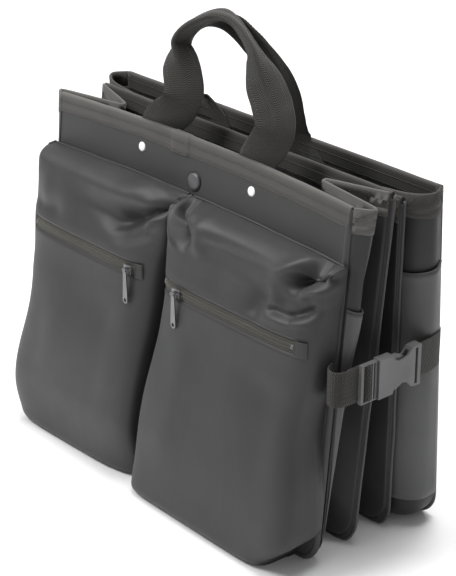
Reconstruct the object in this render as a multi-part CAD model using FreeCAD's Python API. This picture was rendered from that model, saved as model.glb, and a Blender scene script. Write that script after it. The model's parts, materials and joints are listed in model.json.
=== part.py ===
"""Collapsible cargo bag with a pleated body, drawn folded flat and strapped shut.

Frame: X runs along the bag's width, Y from the front wall to the rear wall, +Z up.
The origin is the bottom centre of the whole bag. Lengths are millimetres.

The bag is four upright walls (front, two dividers, rear) joined by three pleated gussets.
Each gusset runs down one side, under the bag and up the other side, and folds inwards.
"""
import FreeCAD
import Part

import math
import os

V = FreeCAD.Vector

# ---- driving dimensions ----
HEIGHT = 340.0            # walls, floor to top edge
DEPTH = 188.0             # folded bag, front of the pockets to the back of the rear wall
FOOT = 0.5                # the walls stop this far above the floor, so that a leaning one clears it
FRONT_HALF = 210.0        # half the front wall's width
DIVIDER_HALF = 206.0
REAR_HALF = 222.0
CORNER = 28.0             # bottom corner radius of every wall
SKIN = 1.0                # outer fabric
BOARD = 2.0               # plastic stiffener inside the front and rear walls
LINING = 0.8
WALL = SKIN + BOARD + LINING
DIVIDER = 2.4             # two layers of fabric with foam between
BINDING = 17.0            # height of the hem tape on each top edge
TAPE = 0.8                # thickness of the hem tape

# Each wall leans a little: its front face is at these Y values at the floor and at the top.
FRONT_LOW, FRONT_HIGH = -52.0, -19.0
FIRST_LOW, FIRST_HIGH = -2.0, 34.0
SECOND_LOW, SECOND_HIGH = 44.0, 46.0
REAR_LOW, REAR_HIGH = DEPTH / 2 - WALL, 76.0
SECOND_TOP = 332.0        # the second divider is a little lower than the walls

GUSSET = 1.2              # gusset fabric
GAP = 1.0                 # room between a gusset and the next wall
FOLD_LOW = 70.0           # height of the inner fold under the bag
SIDE_ROWS = 7             # points down the straight side of each fold line
POCKET_ROW = 2            # the side pockets begin at this one, counted from the top

# ---- front pockets ----
POCKET_IN, POCKET_OUT = 7.0, 212.0      # distance of each pocket's top corners from the middle
INNER_LOW = {"left": 52.0, "right": -10.0}  # the same at the floor: the pockets hang apart and to the left
POCKET_TOP = 288.0
POCKET_SKIN = 1.6
ZIP_Z, ZIP_Y = 218.0, -69.0             # height of the zip, and its outer face
ZIP_OPEN = 11.0                         # width of the two zip tapes together
ZIP_ENDS = (30.0, 190.0)                # distance of the zip's ends from the middle
SLIDER = (11.0, 0.7, 8.6)               # slider body: length, corner radius, width
BAR = 0.6                 # half the thickness of the slider's bridge bar
PULL_LENGTH = 31.0

# ---- webbing and buckle ----
WEB = 38.0                # handle webbing width
SIDE_WEB = 34.0           # side strap webbing width
BUCKLE_SIZE = 0.88        # of a buckle for 38 mm webbing
WEB_T = 1.6
HANDLE_HALF = 70.0        # half the distance between a handle's feet, and where its loop begins and ends
HANDLE_FOOT = HEIGHT + 3  # height at which a handle's loop begins, and the line that it turns about
# Each loop leans as it hangs: places across the bag and heights above the foot line, left to right.
FRONT_LOOP = [(-70, 0), (-68, 12), (-50, 30), (-38, 52), (-47, 76), (-34, 99), (0, 112), (32, 102), (60, 80),
              (82, 56), (88, 32), (74, 10), (70, 0)]
REAR_LOOP = [(-70, 0), (-73, 12), (-94, 30), (-112, 50), (-106, 70), (-80, 86), (-44, 96), (-8, 100),
             (18, 88), (35, 68), (44, 46), (52, 26), (67, 11), (70, 0)]
GRIP_W, GRIP_T = 19.0, 5.0              # the folded and sewn middle of the handle
MEET_Y = 26.0             # the two grips meet here
STRAP_Z = 186.0
BUCKLE_X = 235.5          # middle of the buckle's thickness
MOUTH_Y = -7.7            # where the buckle's male half goes into the female half
RIVET_X, RIVET_Z = 80.0, 316.0
RIVET_R = 5.0
SNAP_Z, SNAP_R = 303.0, 9.0


# ---- helpers ----
def box(x0, x1, y0, y1, z0, z1):
    return Part.makeBox(x1 - x0, y1 - y0, z1 - z0, V(x0, y0, z0))


def mirrored(shape):
    """The same shape on the bag's other side."""
    return shape.mirror(V(0, 0, 0), V(1, 0, 0))


def both_sides(shape):
    return Part.makeCompound([shape, mirrored(shape)])


def prism(points, direction):
    """The polygon through these points, pushed along a direction."""
    return Part.Face(Part.makePolygon(points + [points[0]])).extrude(direction)


def lean(low, high, top=HEIGHT):
    """How a wall with these front-face places stands: a turn about X, then a shift in Y."""
    angle = -math.degrees(math.atan2(high - low, top))
    return FreeCAD.Placement(V(0, low, 0), FreeCAD.Rotation(V(1, 0, 0), angle))


def lean_y(low, high, z, top=HEIGHT):
    return low + (high - low) * z / top


def wall_plate(half, y0, y1, low, high, inset=0.0, top=HEIGHT):
    """A plate from local depth y0 to y1 with round bottom corners, leaning like its wall."""
    length = math.hypot(top, high - low)
    r = CORNER - inset
    x, z0, z1 = half - inset, FOOT + inset, length - inset
    cut = r * (1 - math.sqrt(0.5))
    edges = [
        Part.LineSegment(V(-x, y0, z1), V(x, y0, z1)),
        Part.LineSegment(V(x, y0, z1), V(x, y0, z0 + r)),
        Part.Arc(V(x, y0, z0 + r), V(x - cut, y0, z0 + cut), V(x - r, y0, z0)),
        Part.LineSegment(V(x - r, y0, z0), V(r - x, y0, z0)),
        Part.Arc(V(r - x, y0, z0), V(cut - x, y0, z0 + cut), V(-x, y0, z0 + r)),
        Part.LineSegment(V(-x, y0, z0 + r), V(-x, y0, z1)),
    ]
    face = Part.Face(Part.Wire([e.toShape() for e in edges]))
    plate = face.extrude(V(0, y1 - y0, 0))
    plate.Placement = lean(low, high, top)
    return plate


def hem(half, thick, low, high, top=HEIGHT):
    """The tape folded over a wall's top edge: a channel open at the bottom."""
    length = math.hypot(top, high - low)
    outer = box(-half, half, -TAPE, thick + TAPE, length - BINDING, length + TAPE)
    tape = outer.cut(box(-half, half, 0, thick, length - BINDING, length))
    tape.Placement = lean(low, high, top)
    return tape


def in_wall(shape, low, high, top=HEIGHT):
    """Leans a shape that was drawn on an upright wall's front face, about the wall's foot."""
    shape.Placement = lean(low, high, top).multiply(shape.Placement)
    return shape


def thick_sheet(grid, thickness):
    """A closed solid of even thickness about a grid of points."""
    rows, cols = len(grid), len(grid[0])

    def normal(i, j):
        a = grid[min(i + 1, rows - 1)][j] - grid[max(i - 1, 0)][j]
        b = grid[i][min(j + 1, cols - 1)] - grid[i][max(j - 1, 0)]
        n = a.cross(b)
        n.normalize()
        return n

    def side(sign):
        return [[grid[i][j] + normal(i, j) * (sign * thickness / 2) for j in range(cols)] for i in range(rows)]

    over, under = side(1), side(-1)
    faces = []

    def quad(a, b, c, d):
        for three in ((a, b, c), (a, c, d)):
            faces.append(Part.Face(Part.makePolygon(list(three) + [three[0]])))

    for i in range(rows - 1):
        for j in range(cols - 1):
            quad(over[i][j], over[i + 1][j], over[i + 1][j + 1], over[i][j + 1])
            quad(under[i][j], under[i][j + 1], under[i + 1][j + 1], under[i + 1][j])
    for i in range(rows - 1):
        quad(over[i][0], under[i][0], under[i + 1][0], over[i + 1][0])
        quad(over[i][-1], over[i + 1][-1], under[i + 1][-1], under[i][-1])
    for j in range(cols - 1):
        quad(over[0][j], over[0][j + 1], under[0][j + 1], under[0][j])
        quad(over[-1][j], under[-1][j], under[-1][j + 1], over[-1][j + 1])
    solid = Part.Solid(Part.makeShell(faces))
    return solid if solid.Volume > 0 else solid.reversed()


def loft(sections):
    solid = Part.makeLoft([Part.makePolygon(s + [s[0]]) for s in sections], True, True)
    return solid if solid.Volume > 0 else loft(sections[::-1])


def band(route, width, thickness):
    """Flat webbing on edge: it follows a route in plan, with its width upright."""
    left, right = [], []
    for i, p in enumerate(route):
        before = route[max(i - 1, 0)]
        after = route[min(i + 1, len(route) - 1)]
        along = V(after[0] - before[0], after[1] - before[1], 0).normalize()
        side = V(-along.y, along.x, 0) * (thickness / 2)
        c = V(p[0], p[1], STRAP_Z - width / 2)
        left.append(c + side)
        right.append(c - side)
    return prism(left + right[::-1], V(0, 0, width))


# ---- gussets ----
def rail(half_top, half_low, y_top, y_low, y_under, z_low, radius, z_top=HEIGHT):
    """One fold line of a gusset: down the right side, under the bag and up the left side.

    The line runs from y_top to y_low down the side, and lies at y_under below the bag.
    """
    right = []
    for k in range(SIDE_ROWS):
        share = 1 - k / (SIDE_ROWS - 1)
        z = z_low + radius + (z_top - z_low - radius) * share
        right.append(V(half_low + (half_top - half_low) * share, y_low + (y_top - y_low) * share, z))
    for degrees in (30, 60, 90):
        a = math.radians(degrees)
        x = half_low - radius * (1 - math.cos(a))
        y = y_low + (y_under - y_low) * min(1.0, degrees / 60)
        right.append(V(x, y, z_low + radius * (1 - math.sin(a))))
    left = [V(-p.x, p.y, p.z) for p in reversed(right)]
    return right + left


def seam(low, high, offset, z_top=HEIGHT):
    """Where a gusset meets a divider, a little in front of it or behind it."""
    y_low = lean_y(low, high, CORNER + 4) + offset
    y_under = y_low if offset > 0 else lean_y(low, high, 4) + offset
    return rail(DIVIDER_HALF, DIVIDER_HALF, high + offset, y_low, y_under, 4, CORNER, z_top)


def gusset_rails():
    """Every fold line, gusset by gusset, from its front seam to its rear seam.

    The number is the place of the inner fold among the lines.
    """
    ahead, behind = -GAP - 0.8, DIVIDER + GAP + 0.8
    return {
        "front": (2, [
            rail(FRONT_HALF + 1.6, FRONT_HALF + 1.6, FRONT_HIGH + 2, FRONT_LOW + 7.8, FRONT_LOW + 7.8, 4, CORNER),
            rail(236, 216, FRONT_HIGH + 15, FRONT_LOW + 11, FRONT_LOW + 15, 3, CORNER),
            rail(146, 150, 11, -24, -24, FOLD_LOW, 20, HEIGHT - 4),
            seam(FIRST_LOW, FIRST_HIGH, ahead),
        ]),
        "middle": (1, [
            seam(FIRST_LOW, FIRST_HIGH, behind, HEIGHT - 6),
            rail(158, 150, 41.5, 23, 23, FOLD_LOW, 20, HEIGHT - 8),
            seam(SECOND_LOW, SECOND_HIGH, ahead, SECOND_TOP - 2),
        ]),
        "rear": (1, [
            seam(SECOND_LOW, SECOND_HIGH, behind, SECOND_TOP - 2),
            rail(168, 160, 62, 66, 66, FOLD_LOW, 20, HEIGHT - 8),
            rail(231, 229, REAR_HIGH - 7, REAR_LOW - 9, REAR_LOW - 9, 3, CORNER),
            rail(REAR_HALF + 2.0, REAR_HALF + 2.0, REAR_HIGH - GAP - 1, REAR_LOW - GAP - 1, REAR_LOW - GAP - 1,
                 4, CORNER),
        ]),
    }


def gusset(rails):
    """The folded fabric, from its front seam to its rear seam, with a point halfway between folds."""
    grid = []
    for points in zip(*rails):
        row = [points[0]]
        for p in points[1:]:
            row += [(row[-1] + p) * 0.5, p]
        grid.append(row)
    return thick_sheet(grid, GUSSET)


def lifted(row, lift):
    """A row of points across the folds, moved outwards from the bag."""
    out = []
    for j, p in enumerate(row):
        a, b = row[max(j - 1, 0)], row[min(j + 1, len(row) - 1)]
        along = V(b.x - a.x, b.y - a.y, 0).normalize()
        out.append(p + V(along.y, -along.x, 0) * lift)
    return out


def side_pockets(rails, inner):
    """The slip pockets sewn over a gusset's outside, each from a seam to halfway into the inner fold."""
    patches = []
    for first in (True, False):
        rows = []
        for k in range(POCKET_ROW, SIDE_ROWS):
            row = [r[k] for r in rails]
            before = (row[inner - 1] + row[inner]) * 0.5
            after = (row[inner] + row[inner + 1]) * 0.5
            rows.append(lifted(row[:inner] + [before] if first else [after] + row[inner + 1:], 1.7))
        patches.append(thick_sheet(rows, 0.7))
    return Part.makeCompound([both_sides(patch) for patch in patches])


# ---- front pockets ----
def pocket_profile(inset):
    """The pocket's side view, as (depth in front of the wall's foot line, height)."""
    return [
        (FRONT_HIGH - 6, POCKET_TOP),
        (-44 + inset, POCKET_TOP - 4 - inset),
        (-62 + inset, 254),
        (ZIP_Y + inset, ZIP_Z + 7),
        (ZIP_Y + inset, ZIP_Z - 7),
        (ZIP_Y - 1 + inset, 180),
        (-86 + inset, 130),
        (inset - DEPTH / 2, 66),
        (inset - DEPTH / 2, 30),
        (-88 + inset, 8 + inset),
        (-74 + inset, inset),
        (FRONT_LOW, inset),
    ]


def pocket_form(inner_low, inset):
    """A right-hand pocket as one body, pulled in by an inset; its back lies in the wall."""
    stations = [(0, 0.45), (0.05, 0.88), (0.11, 1.0), (0.89, 1.0), (0.95, 0.88), (1, 0.45)]

    def across(share, z):
        inner = inner_low + (POCKET_IN - inner_low) * z / POCKET_TOP
        return inner + inset + (POCKET_OUT - inner - 2 * inset) * share

    sections = []
    for share, depth in stations:
        points = []
        for y, z in pocket_profile(inset):
            back = lean_y(FRONT_LOW, FRONT_HIGH, z) + 2.0
            points.append(V(across(share, z), back + (y - back) * depth, z))
        for z in (inset, POCKET_TOP):
            points.append(V(across(share, z), lean_y(FRONT_LOW, FRONT_HIGH, z) + 3.0, z))
        sections.append(points)
    return loft(sections)


def pocket_parts(inner_low):
    """A right-hand pocket: its pouch, its yoke above the zip, and the two zip tapes."""
    cut_wall = wall_plate(FRONT_HALF + 5, 0, 40, FRONT_LOW, FRONT_HIGH)
    shell = pocket_form(inner_low, 0).cut(pocket_form(inner_low, POCKET_SKIN)).cut(cut_wall)
    low, high = ZIP_Z - ZIP_OPEN / 2, ZIP_Z + ZIP_OPEN / 2
    mouth = box(ZIP_ENDS[0] - 6, ZIP_ENDS[1] + 6, -100, 0, low, high)
    whole = box(-60, 260, -120, 20, -10, 400)
    upper = box(-60, 260, -120, 20, ZIP_Z, 400)
    pouch = shell.cut(mouth).cut(upper)
    yoke = shell.cut(mouth).cut(whole.cut(upper))
    tapes = []
    for z0, z1 in ((low + 0.2, ZIP_Z - 1.8), (ZIP_Z + 1.8, high - 0.2)):
        tapes.append(box(ZIP_ENDS[0] - 5.8, ZIP_ENDS[1] + 5.8, ZIP_Y + 0.5, ZIP_Y + 1.2, z0, z1))
    return pouch, yoke, Part.makeCompound(tapes)


def zip_teeth():
    return box(ZIP_ENDS[0], ZIP_ENDS[1], ZIP_Y + 0.1, ZIP_Y + 1.6, ZIP_Z - 1.7, ZIP_Z + 1.7)


def zip_stops():
    """A metal stop at each end of the teeth."""
    stops = []
    for x0, x1 in ((ZIP_ENDS[0] - 3, ZIP_ENDS[0] - 0.2), (ZIP_ENDS[1] + 0.2, ZIP_ENDS[1] + 3)):
        stops.append(box(x0, x1, ZIP_Y - 0.3, ZIP_Y + 1.8, ZIP_Z - 1.7, ZIP_Z + 1.7))
    return Part.makeCompound(stops)


SLIDER_X = ZIP_ENDS[0] + 1 + SLIDER[0] / 2
PULL_Y = ZIP_Y - 4.6      # middle of the bridge bar, which the pull hangs on


def slider():
    """Slider body in front of the teeth, with a bridge for the pull to hang from."""
    length, thick, width = SLIDER
    back, front = ZIP_Y - 0.3, ZIP_Y - 1.8
    body = box(SLIDER_X - length / 2, SLIDER_X + length / 2, front, back, ZIP_Z - width / 2, ZIP_Z + width / 2)
    body = body.makeFillet(thick, [e for e in body.Edges if e.BoundBox.YLength > 1])
    outer = box(SLIDER_X - 4.2, SLIDER_X + 4.2, PULL_Y - BAR, front, ZIP_Z - BAR, ZIP_Z + BAR)
    window = box(SLIDER_X - 3.2, SLIDER_X + 3.2, PULL_Y + BAR, front, ZIP_Z - 2, ZIP_Z + 2)
    return body.fuse(outer.cut(window)).removeSplitter()


def pull():
    """The pull: a tapered plate with a thumb hole, rolled round the bridge's bar at its top."""
    y0, y1 = PULL_Y - 0.6, PULL_Y + 0.6
    low = ZIP_Z - PULL_LENGTH
    corners = [(-2.5, ZIP_Z), (2.5, ZIP_Z), (2.5, ZIP_Z - 7), (3.6, low), (-3.6, low), (-2.5, ZIP_Z - 7)]
    tab = prism([V(SLIDER_X + x, y0, z) for x, z in corners], V(0, y1 - y0, 0))
    tip = Part.makeCylinder(3.6, y1 - y0, V(SLIDER_X, y0, low), V(0, 1, 0))
    roll = Part.makeCylinder(1.7, 5.0, V(SLIDER_X - 2.5, PULL_Y, ZIP_Z), V(1, 0, 0))
    bore = Part.makeCylinder(1.1, 8.0, V(SLIDER_X - 4, PULL_Y, ZIP_Z), V(1, 0, 0))
    hole = Part.makeCylinder(1.9, 4, V(SLIDER_X, y0 - 1, low), V(0, 1, 0))
    return tab.fuse([tip, roll]).removeSplitter().cut(bore).cut(hole)


# ---- handles ----
def handle_loop(side):
    """A handle's loop: flat webbing at its feet, folded and sewn into a grip over the top.

    side is -1 for the front handle and 1 for the rear one.
    """
    foot_y = FRONT_HIGH + WALL + 1.6 if side < 0 else REAR_HIGH - 1.6
    meet_y = MEET_Y + side * (GRIP_W / 2 + 0.4)
    curve = Part.BSplineCurve()
    curve.interpolate([V(x, 0, z) for x, z in (FRONT_LOOP if side < 0 else REAR_LOOP)])
    steps = 26
    sections = []
    for i in range(steps + 1):
        parameter = curve.FirstParameter + (curve.LastParameter - curve.FirstParameter) * i / steps
        p = curve.value(parameter)
        along = curve.tangent(parameter)[0] if 0 < i < steps else V(0, 0, 1 if i == 0 else -1)
        climb = min(1.0, max(0.0, p.z) / 70)
        fold = min(1.0, climb * 1.3)
        half_width = (WEB + (GRIP_W - WEB) * fold) / 2
        half_thick = (WEB_T + (GRIP_T - WEB_T) * fold) / 2
        # The webbing faces Y at the feet and lies across the loop at the top.
        turn = fold * math.pi / 2
        across = V(math.cos(turn), math.sin(turn), 0)
        across = (across - along * across.dot(along)).normalize()
        face = along.cross(across).normalize()
        c = V(p.x, foot_y + (meet_y - foot_y) * climb, HANDLE_FOOT + p.z)
        w, t = across * half_width, face * half_thick
        sections.append([c - w - t, c + w - t, c + w + t, c - w + t])
    return loft(sections)


def handle_feet(side):
    """The ends of the webbing, sewn to the inside of the wall."""
    if side < 0:
        foot = box(HANDLE_HALF - WEB / 2, HANDLE_HALF + WEB / 2, WALL + TAPE, WALL + TAPE + WEB_T, HEIGHT - 40, HEIGHT + 2)
        return in_wall(both_sides(foot), FRONT_LOW, FRONT_HIGH)
    foot = box(HANDLE_HALF - WEB / 2, HANDLE_HALF + WEB / 2, -TAPE - WEB_T, -TAPE, HEIGHT - 40, HEIGHT + 2)
    return in_wall(both_sides(foot), REAR_LOW, REAR_HIGH)


# ---- snap and rivets ----
def dome(radius, height, x, y, z, side):
    """A shallow domed cap on the Y face at y, standing out towards side * Y."""
    ball_r = (radius ** 2 + height ** 2) / (2 * height)
    ball = Part.makeSphere(ball_r, V(x, y + side * (height - ball_r), z))
    keep = Part.makeCylinder(radius, height + 1, V(x, y, z), V(0, side, 0))
    return ball.common(keep)


def rivet_heads(low, high, side):
    """The outer heads of the two rivets, on the front face of the wall or the back of it."""
    y = 0 if side < 0 else WALL
    return in_wall(both_sides(dome(RIVET_R, 1.8, RIVET_X, y, RIVET_Z, side)), low, high)


def rivet_washers(low, high, side):
    """Flat washers on the lining side."""
    y = WALL if side < 0 else 0
    ring = Part.makeCylinder(4.2, 0.8, V(RIVET_X, y, RIVET_Z), V(0, -side, 0))
    return in_wall(both_sides(ring), low, high)


def snap_cap(low, high, side):
    y = 0 if side < 0 else WALL
    return in_wall(dome(SNAP_R, 2.6, 0, y, SNAP_Z, side), low, high)


def snap_socket():
    """The hollow half of the snap, on the inside of the front wall."""
    ring = Part.makeCylinder(6.5, 2.4, V(0, WALL, SNAP_Z), V(0, 1, 0))
    bore = Part.makeCylinder(3.6, 3.0, V(0, WALL + 0.8, SNAP_Z), V(0, 1, 0))
    return in_wall(ring.cut(bore), FRONT_LOW, FRONT_HIGH)


def snap_stud():
    """The post half of the snap, on the inside of the rear wall."""
    flange = Part.makeCylinder(6.5, 0.9, V(0, 0, SNAP_Z), V(0, -1, 0))
    post = Part.makeCylinder(3.4, 3.2, V(0, 0, SNAP_Z), V(0, -1, 0))
    return in_wall(flange.fuse(post).removeSplitter(), REAR_LOW, REAR_HIGH)


# ---- side straps and buckles (drawn on the right, mirrored to the left) ----
FRAME_BACK, FRAME_T = BUCKLE_X - 2.0, 4.0
FRAME_LONG, FEMALE_LONG = 22.0, 59.0      # of a buckle for 38 mm webbing
FRAME_FRONT_Y = MOUTH_Y - BUCKLE_SIZE * FRAME_LONG
FEMALE_END = MOUTH_Y + BUCKLE_SIZE * FEMALE_LONG


def strap_front():
    """From the front seam, round the front pleat, under the frame's bars and round its anchor bar."""
    under = FRAME_BACK - 1.1
    route = [(FRONT_HALF + 2.8, -39), (222, -50), (231, -49), (under, -40), (under, FRAME_FRONT_Y + 12.8)]
    return band(route, SIDE_WEB, WEB_T)


def strap_rear():
    """From the female half's end bar, round the rear pleat and onto the rear wall's outside."""
    wall_y = lean_y(REAR_LOW, REAR_HIGH, STRAP_Z) + WALL + 2.2
    route = [(BUCKLE_X - 1.2, FEMALE_END - 2.2), (234.6, wall_y - 16), (233.2, wall_y - 7), (227, wall_y - 1),
             (218, wall_y), (182, wall_y)]
    return band(route, SIDE_WEB, WEB_T)


def side_plate(points, x0, thickness):
    """A plate of the buckle in side view: points are distance behind the mouth and height over the middle."""
    corners = [V(x0, MOUTH_Y + BUCKLE_SIZE * y, STRAP_Z + BUCKLE_SIZE * z) for y, z in points]
    return prism(corners, V(thickness, 0, 0))


def side_block(x0, x1, y0, y1, half):
    """A block of the buckle, the same height above and below its middle."""
    return side_plate([(y0, -half), (y1, -half), (y1, half), (y0, half)], x0, x1 - x0)


def buckle_male():
    """Frame with two toothed bars and an anchor bar for the webbing, and a guide tongue."""
    plate = side_block(FRAME_BACK, FRAME_BACK + FRAME_T, -FRAME_LONG, -0.3, 21.5)
    for start, end in ((3.5, 6.8), (13.0, 15.0), (17.0, 18.9)):
        window = side_block(FRAME_BACK - 1, FRAME_BACK + FRAME_T + 1, start - FRAME_LONG, end - FRAME_LONG, 19.8)
        plate = plate.cut(window)
    shank = side_block(BUCKLE_X - 1.9, BUCKLE_X + 1.9, -0.3, 3, 14.5)
    tongue = side_block(BUCKLE_X - 1.6, BUCKLE_X + 1.6, 3, 38, 2.6)
    return plate.fuse(shank).fuse(tongue).removeSplitter()


def female_outline():
    """Upper half of the female half's side view, as (distance from the mouth, half width)."""
    notch = [(20 + 11 * (1 - math.cos(a)), 21.5 - 8.5 * math.sin(a)) for a in
             [math.radians(d) for d in (0, 25, 50, 75, 90)]]
    flare = [(36, 13.6), (40, 15.4), (43, 18.6), (46, 21.6), (51, 22.5), (59, 22.5)]
    return [(0, 21.8)] + notch + flare


def buckle_female():
    upper = female_outline()
    lower = [(y, -z) for y, z in reversed(upper)]
    body = side_plate(upper + lower, BUCKLE_X - 4.5, 9.0)
    cavity = side_block(BUCKLE_X - 2.3, BUCKLE_X + 2.3, -1, 44, 18.8)
    slot = side_block(BUCKLE_X - 6, BUCKLE_X + 6, FEMALE_LONG - 8, FEMALE_LONG - 4.6, 19.8)
    relief = side_block(BUCKLE_X - 6, BUCKLE_X + 1.5, FEMALE_LONG - 4.6, FEMALE_LONG + 1, 19.8)
    return body.cut(cavity).cut(slot).cut(relief)


def buckle_prong(side):
    """One spring arm with its catch, which shows in the notch; side is 1 for the upper arm."""
    outline = [(3.5, 10.4), (3.5, 14.2), (20.5, 15.0), (22.0, 19.6), (27, 19.8), (33, 17.4), (40, 12.6), (40, 9.8),
               (24, 10.6)]
    return side_plate([(y, side * z) for y, z in outline], BUCKLE_X - 1.8, 3.6)


# ---- the whole bag ----
def build():
    parts = {}
    front, rear = (FRONT_LOW, FRONT_HIGH), (REAR_LOW, REAR_HIGH)
    first, second = (FIRST_LOW, FIRST_HIGH), (SECOND_LOW, SECOND_HIGH)

    parts["front_panel"] = wall_plate(FRONT_HALF, 0, SKIN, *front)
    parts["front_board"] = wall_plate(FRONT_HALF, SKIN, SKIN + BOARD, *front, inset=8)
    parts["front_lining"] = wall_plate(FRONT_HALF, SKIN + BOARD, WALL, *front)
    parts["front_binding"] = hem(FRONT_HALF, WALL, *front)
    parts["rear_lining"] = wall_plate(REAR_HALF, 0, LINING, *rear)
    parts["rear_board"] = wall_plate(REAR_HALF, LINING, LINING + BOARD, *rear, inset=8)
    parts["rear_panel"] = wall_plate(REAR_HALF, LINING + BOARD, WALL, *rear)
    parts["rear_binding"] = hem(REAR_HALF, WALL, *rear)
    parts["first_divider"] = wall_plate(DIVIDER_HALF, 0, DIVIDER, *first)
    parts["first_divider_binding"] = hem(DIVIDER_HALF, DIVIDER, *first)
    parts["second_divider"] = wall_plate(DIVIDER_HALF, 0, DIVIDER, *second, top=SECOND_TOP)
    parts["second_divider_binding"] = hem(DIVIDER_HALF, DIVIDER, *second, top=SECOND_TOP)

    for name, (inner, rails) in gusset_rails().items():
        parts[name + "_gusset"] = gusset(rails)
        parts[name + "_side_pockets"] = side_pockets(rails, inner)

    for side, inner_low in INNER_LOW.items():
        pouch, yoke, tapes = pocket_parts(inner_low)
        pocket = {"pouch": pouch, "yoke": yoke, "zip_tapes": tapes, "zip_teeth": zip_teeth(),
                  "zip_stops": zip_stops(), "zip_slider": slider(), "zip_pull": pull()}
        for name, shape in pocket.items():
            parts[side + "_pocket_" + name] = shape if side == "right" else mirrored(shape)

    parts["front_snap_cap"] = snap_cap(*front, side=-1)
    parts["snap_socket"] = snap_socket()
    parts["rear_snap_cap"] = snap_cap(*rear, side=1)
    parts["snap_stud"] = snap_stud()
    parts["front_rivets"] = rivet_heads(*front, side=-1)
    parts["front_rivet_washers"] = rivet_washers(*front, side=-1)
    parts["rear_rivets"] = rivet_heads(*rear, side=1)
    parts["rear_rivet_washers"] = rivet_washers(*rear, side=1)

    parts["front_handle_feet"] = handle_feet(-1)
    parts["front_handle_loop"] = handle_loop(-1)
    parts["rear_handle_feet"] = handle_feet(1)
    parts["rear_handle_loop"] = handle_loop(1)

    side_parts = {"strap_front": strap_front(), "strap_rear": strap_rear(), "buckle_male": buckle_male(),
                  "buckle_female": buckle_female(), "buckle_upper_prong": buckle_prong(1),
                  "buckle_lower_prong": buckle_prong(-1)}
    for name, shape in side_parts.items():
        parts["right_" + name] = shape
        parts["left_" + name] = mirrored(shape)
    return parts


def main():
    os.makedirs("parts", exist_ok=True)
    for name, shape in build().items():
        if not shape.isValid():
            print("not valid:", name)
        shape.exportStep(os.path.join("parts", name + ".step"))
        b = shape.BoundBox
        print("%-28s %2d solids  x %7.1f %7.1f  y %7.1f %7.1f  z %7.1f %7.1f" % (
            name, len(shape.Solids), b.XMin, b.XMax, b.YMin, b.YMax, b.ZMin, b.ZMax))


if __name__ == "__main__":
    main()
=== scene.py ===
"""Looks of the collapsible cargo bag: cloth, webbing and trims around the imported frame, light and camera.

Lengths are metres, in the frame's own axes: X along the bag, -Y to the front pockets, +Z up.
"""

import json
import math

import bmesh
import bpy
import numpy as np
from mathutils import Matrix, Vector, noise
from mathutils.bvhtree import BVHTree

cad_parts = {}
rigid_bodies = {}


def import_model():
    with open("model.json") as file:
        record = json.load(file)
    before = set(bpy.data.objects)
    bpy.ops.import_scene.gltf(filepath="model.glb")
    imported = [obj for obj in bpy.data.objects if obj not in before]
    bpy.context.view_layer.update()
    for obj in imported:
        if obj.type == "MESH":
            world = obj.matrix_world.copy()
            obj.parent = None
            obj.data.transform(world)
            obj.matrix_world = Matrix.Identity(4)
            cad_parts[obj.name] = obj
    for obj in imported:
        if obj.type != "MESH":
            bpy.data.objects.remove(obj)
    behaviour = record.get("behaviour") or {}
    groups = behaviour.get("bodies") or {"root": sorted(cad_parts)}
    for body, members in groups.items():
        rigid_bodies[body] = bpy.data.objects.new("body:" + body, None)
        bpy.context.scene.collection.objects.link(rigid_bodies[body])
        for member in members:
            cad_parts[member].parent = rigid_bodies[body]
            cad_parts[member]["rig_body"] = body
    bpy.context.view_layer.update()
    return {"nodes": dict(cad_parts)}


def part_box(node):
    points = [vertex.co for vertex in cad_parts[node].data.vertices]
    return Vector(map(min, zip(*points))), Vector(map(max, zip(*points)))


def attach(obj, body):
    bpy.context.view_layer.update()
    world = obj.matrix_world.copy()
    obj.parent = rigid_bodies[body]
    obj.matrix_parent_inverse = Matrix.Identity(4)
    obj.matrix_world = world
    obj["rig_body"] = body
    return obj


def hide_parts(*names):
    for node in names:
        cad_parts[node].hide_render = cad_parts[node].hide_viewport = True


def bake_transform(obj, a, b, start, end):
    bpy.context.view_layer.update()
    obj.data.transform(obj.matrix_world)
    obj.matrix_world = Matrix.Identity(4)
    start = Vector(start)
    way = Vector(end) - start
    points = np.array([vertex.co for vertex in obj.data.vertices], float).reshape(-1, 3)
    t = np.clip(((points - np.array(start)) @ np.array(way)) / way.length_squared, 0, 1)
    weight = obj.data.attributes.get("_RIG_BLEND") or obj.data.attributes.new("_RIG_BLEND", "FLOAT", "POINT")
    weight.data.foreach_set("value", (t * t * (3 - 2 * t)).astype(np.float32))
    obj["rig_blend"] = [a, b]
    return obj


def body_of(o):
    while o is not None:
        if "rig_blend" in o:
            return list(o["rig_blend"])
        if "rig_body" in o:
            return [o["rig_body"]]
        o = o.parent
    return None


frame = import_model()


# ---- small helpers ----
def smooth(a, b, x):
    """0 before a, 1 after b, with a soft change between. It takes numbers or arrays."""
    t = np.clip((x - a) / (b - a), 0, 1)
    return t * t * (3 - 2 * t)


def unit(v):
    """The direction of a vector, or of each vector in an array."""
    v = np.asarray(v, float)
    return v / np.maximum(np.linalg.norm(v, axis=-1, keepdims=True), 1e-12)


def spline(points, count):
    """A smooth line (Catmull-Rom) through the points, as count samples."""
    p = np.asarray(points, float)
    spans = len(p) - 1
    p = np.vstack([2 * p[0] - p[1], p, 2 * p[-1] - p[-2]])
    out = []
    for t in np.linspace(0, spans, count):
        k = min(int(t), spans - 1)
        f = t - k
        a, b, c, d = p[k:k + 4]
        out.append(0.5 * ((2 * b) + (c - a) * f + (2 * a - 5 * b + 4 * c - d) * f ** 2
                          + (3 * b - a - 3 * c + d) * f ** 3))
    return np.array(out)


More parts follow.
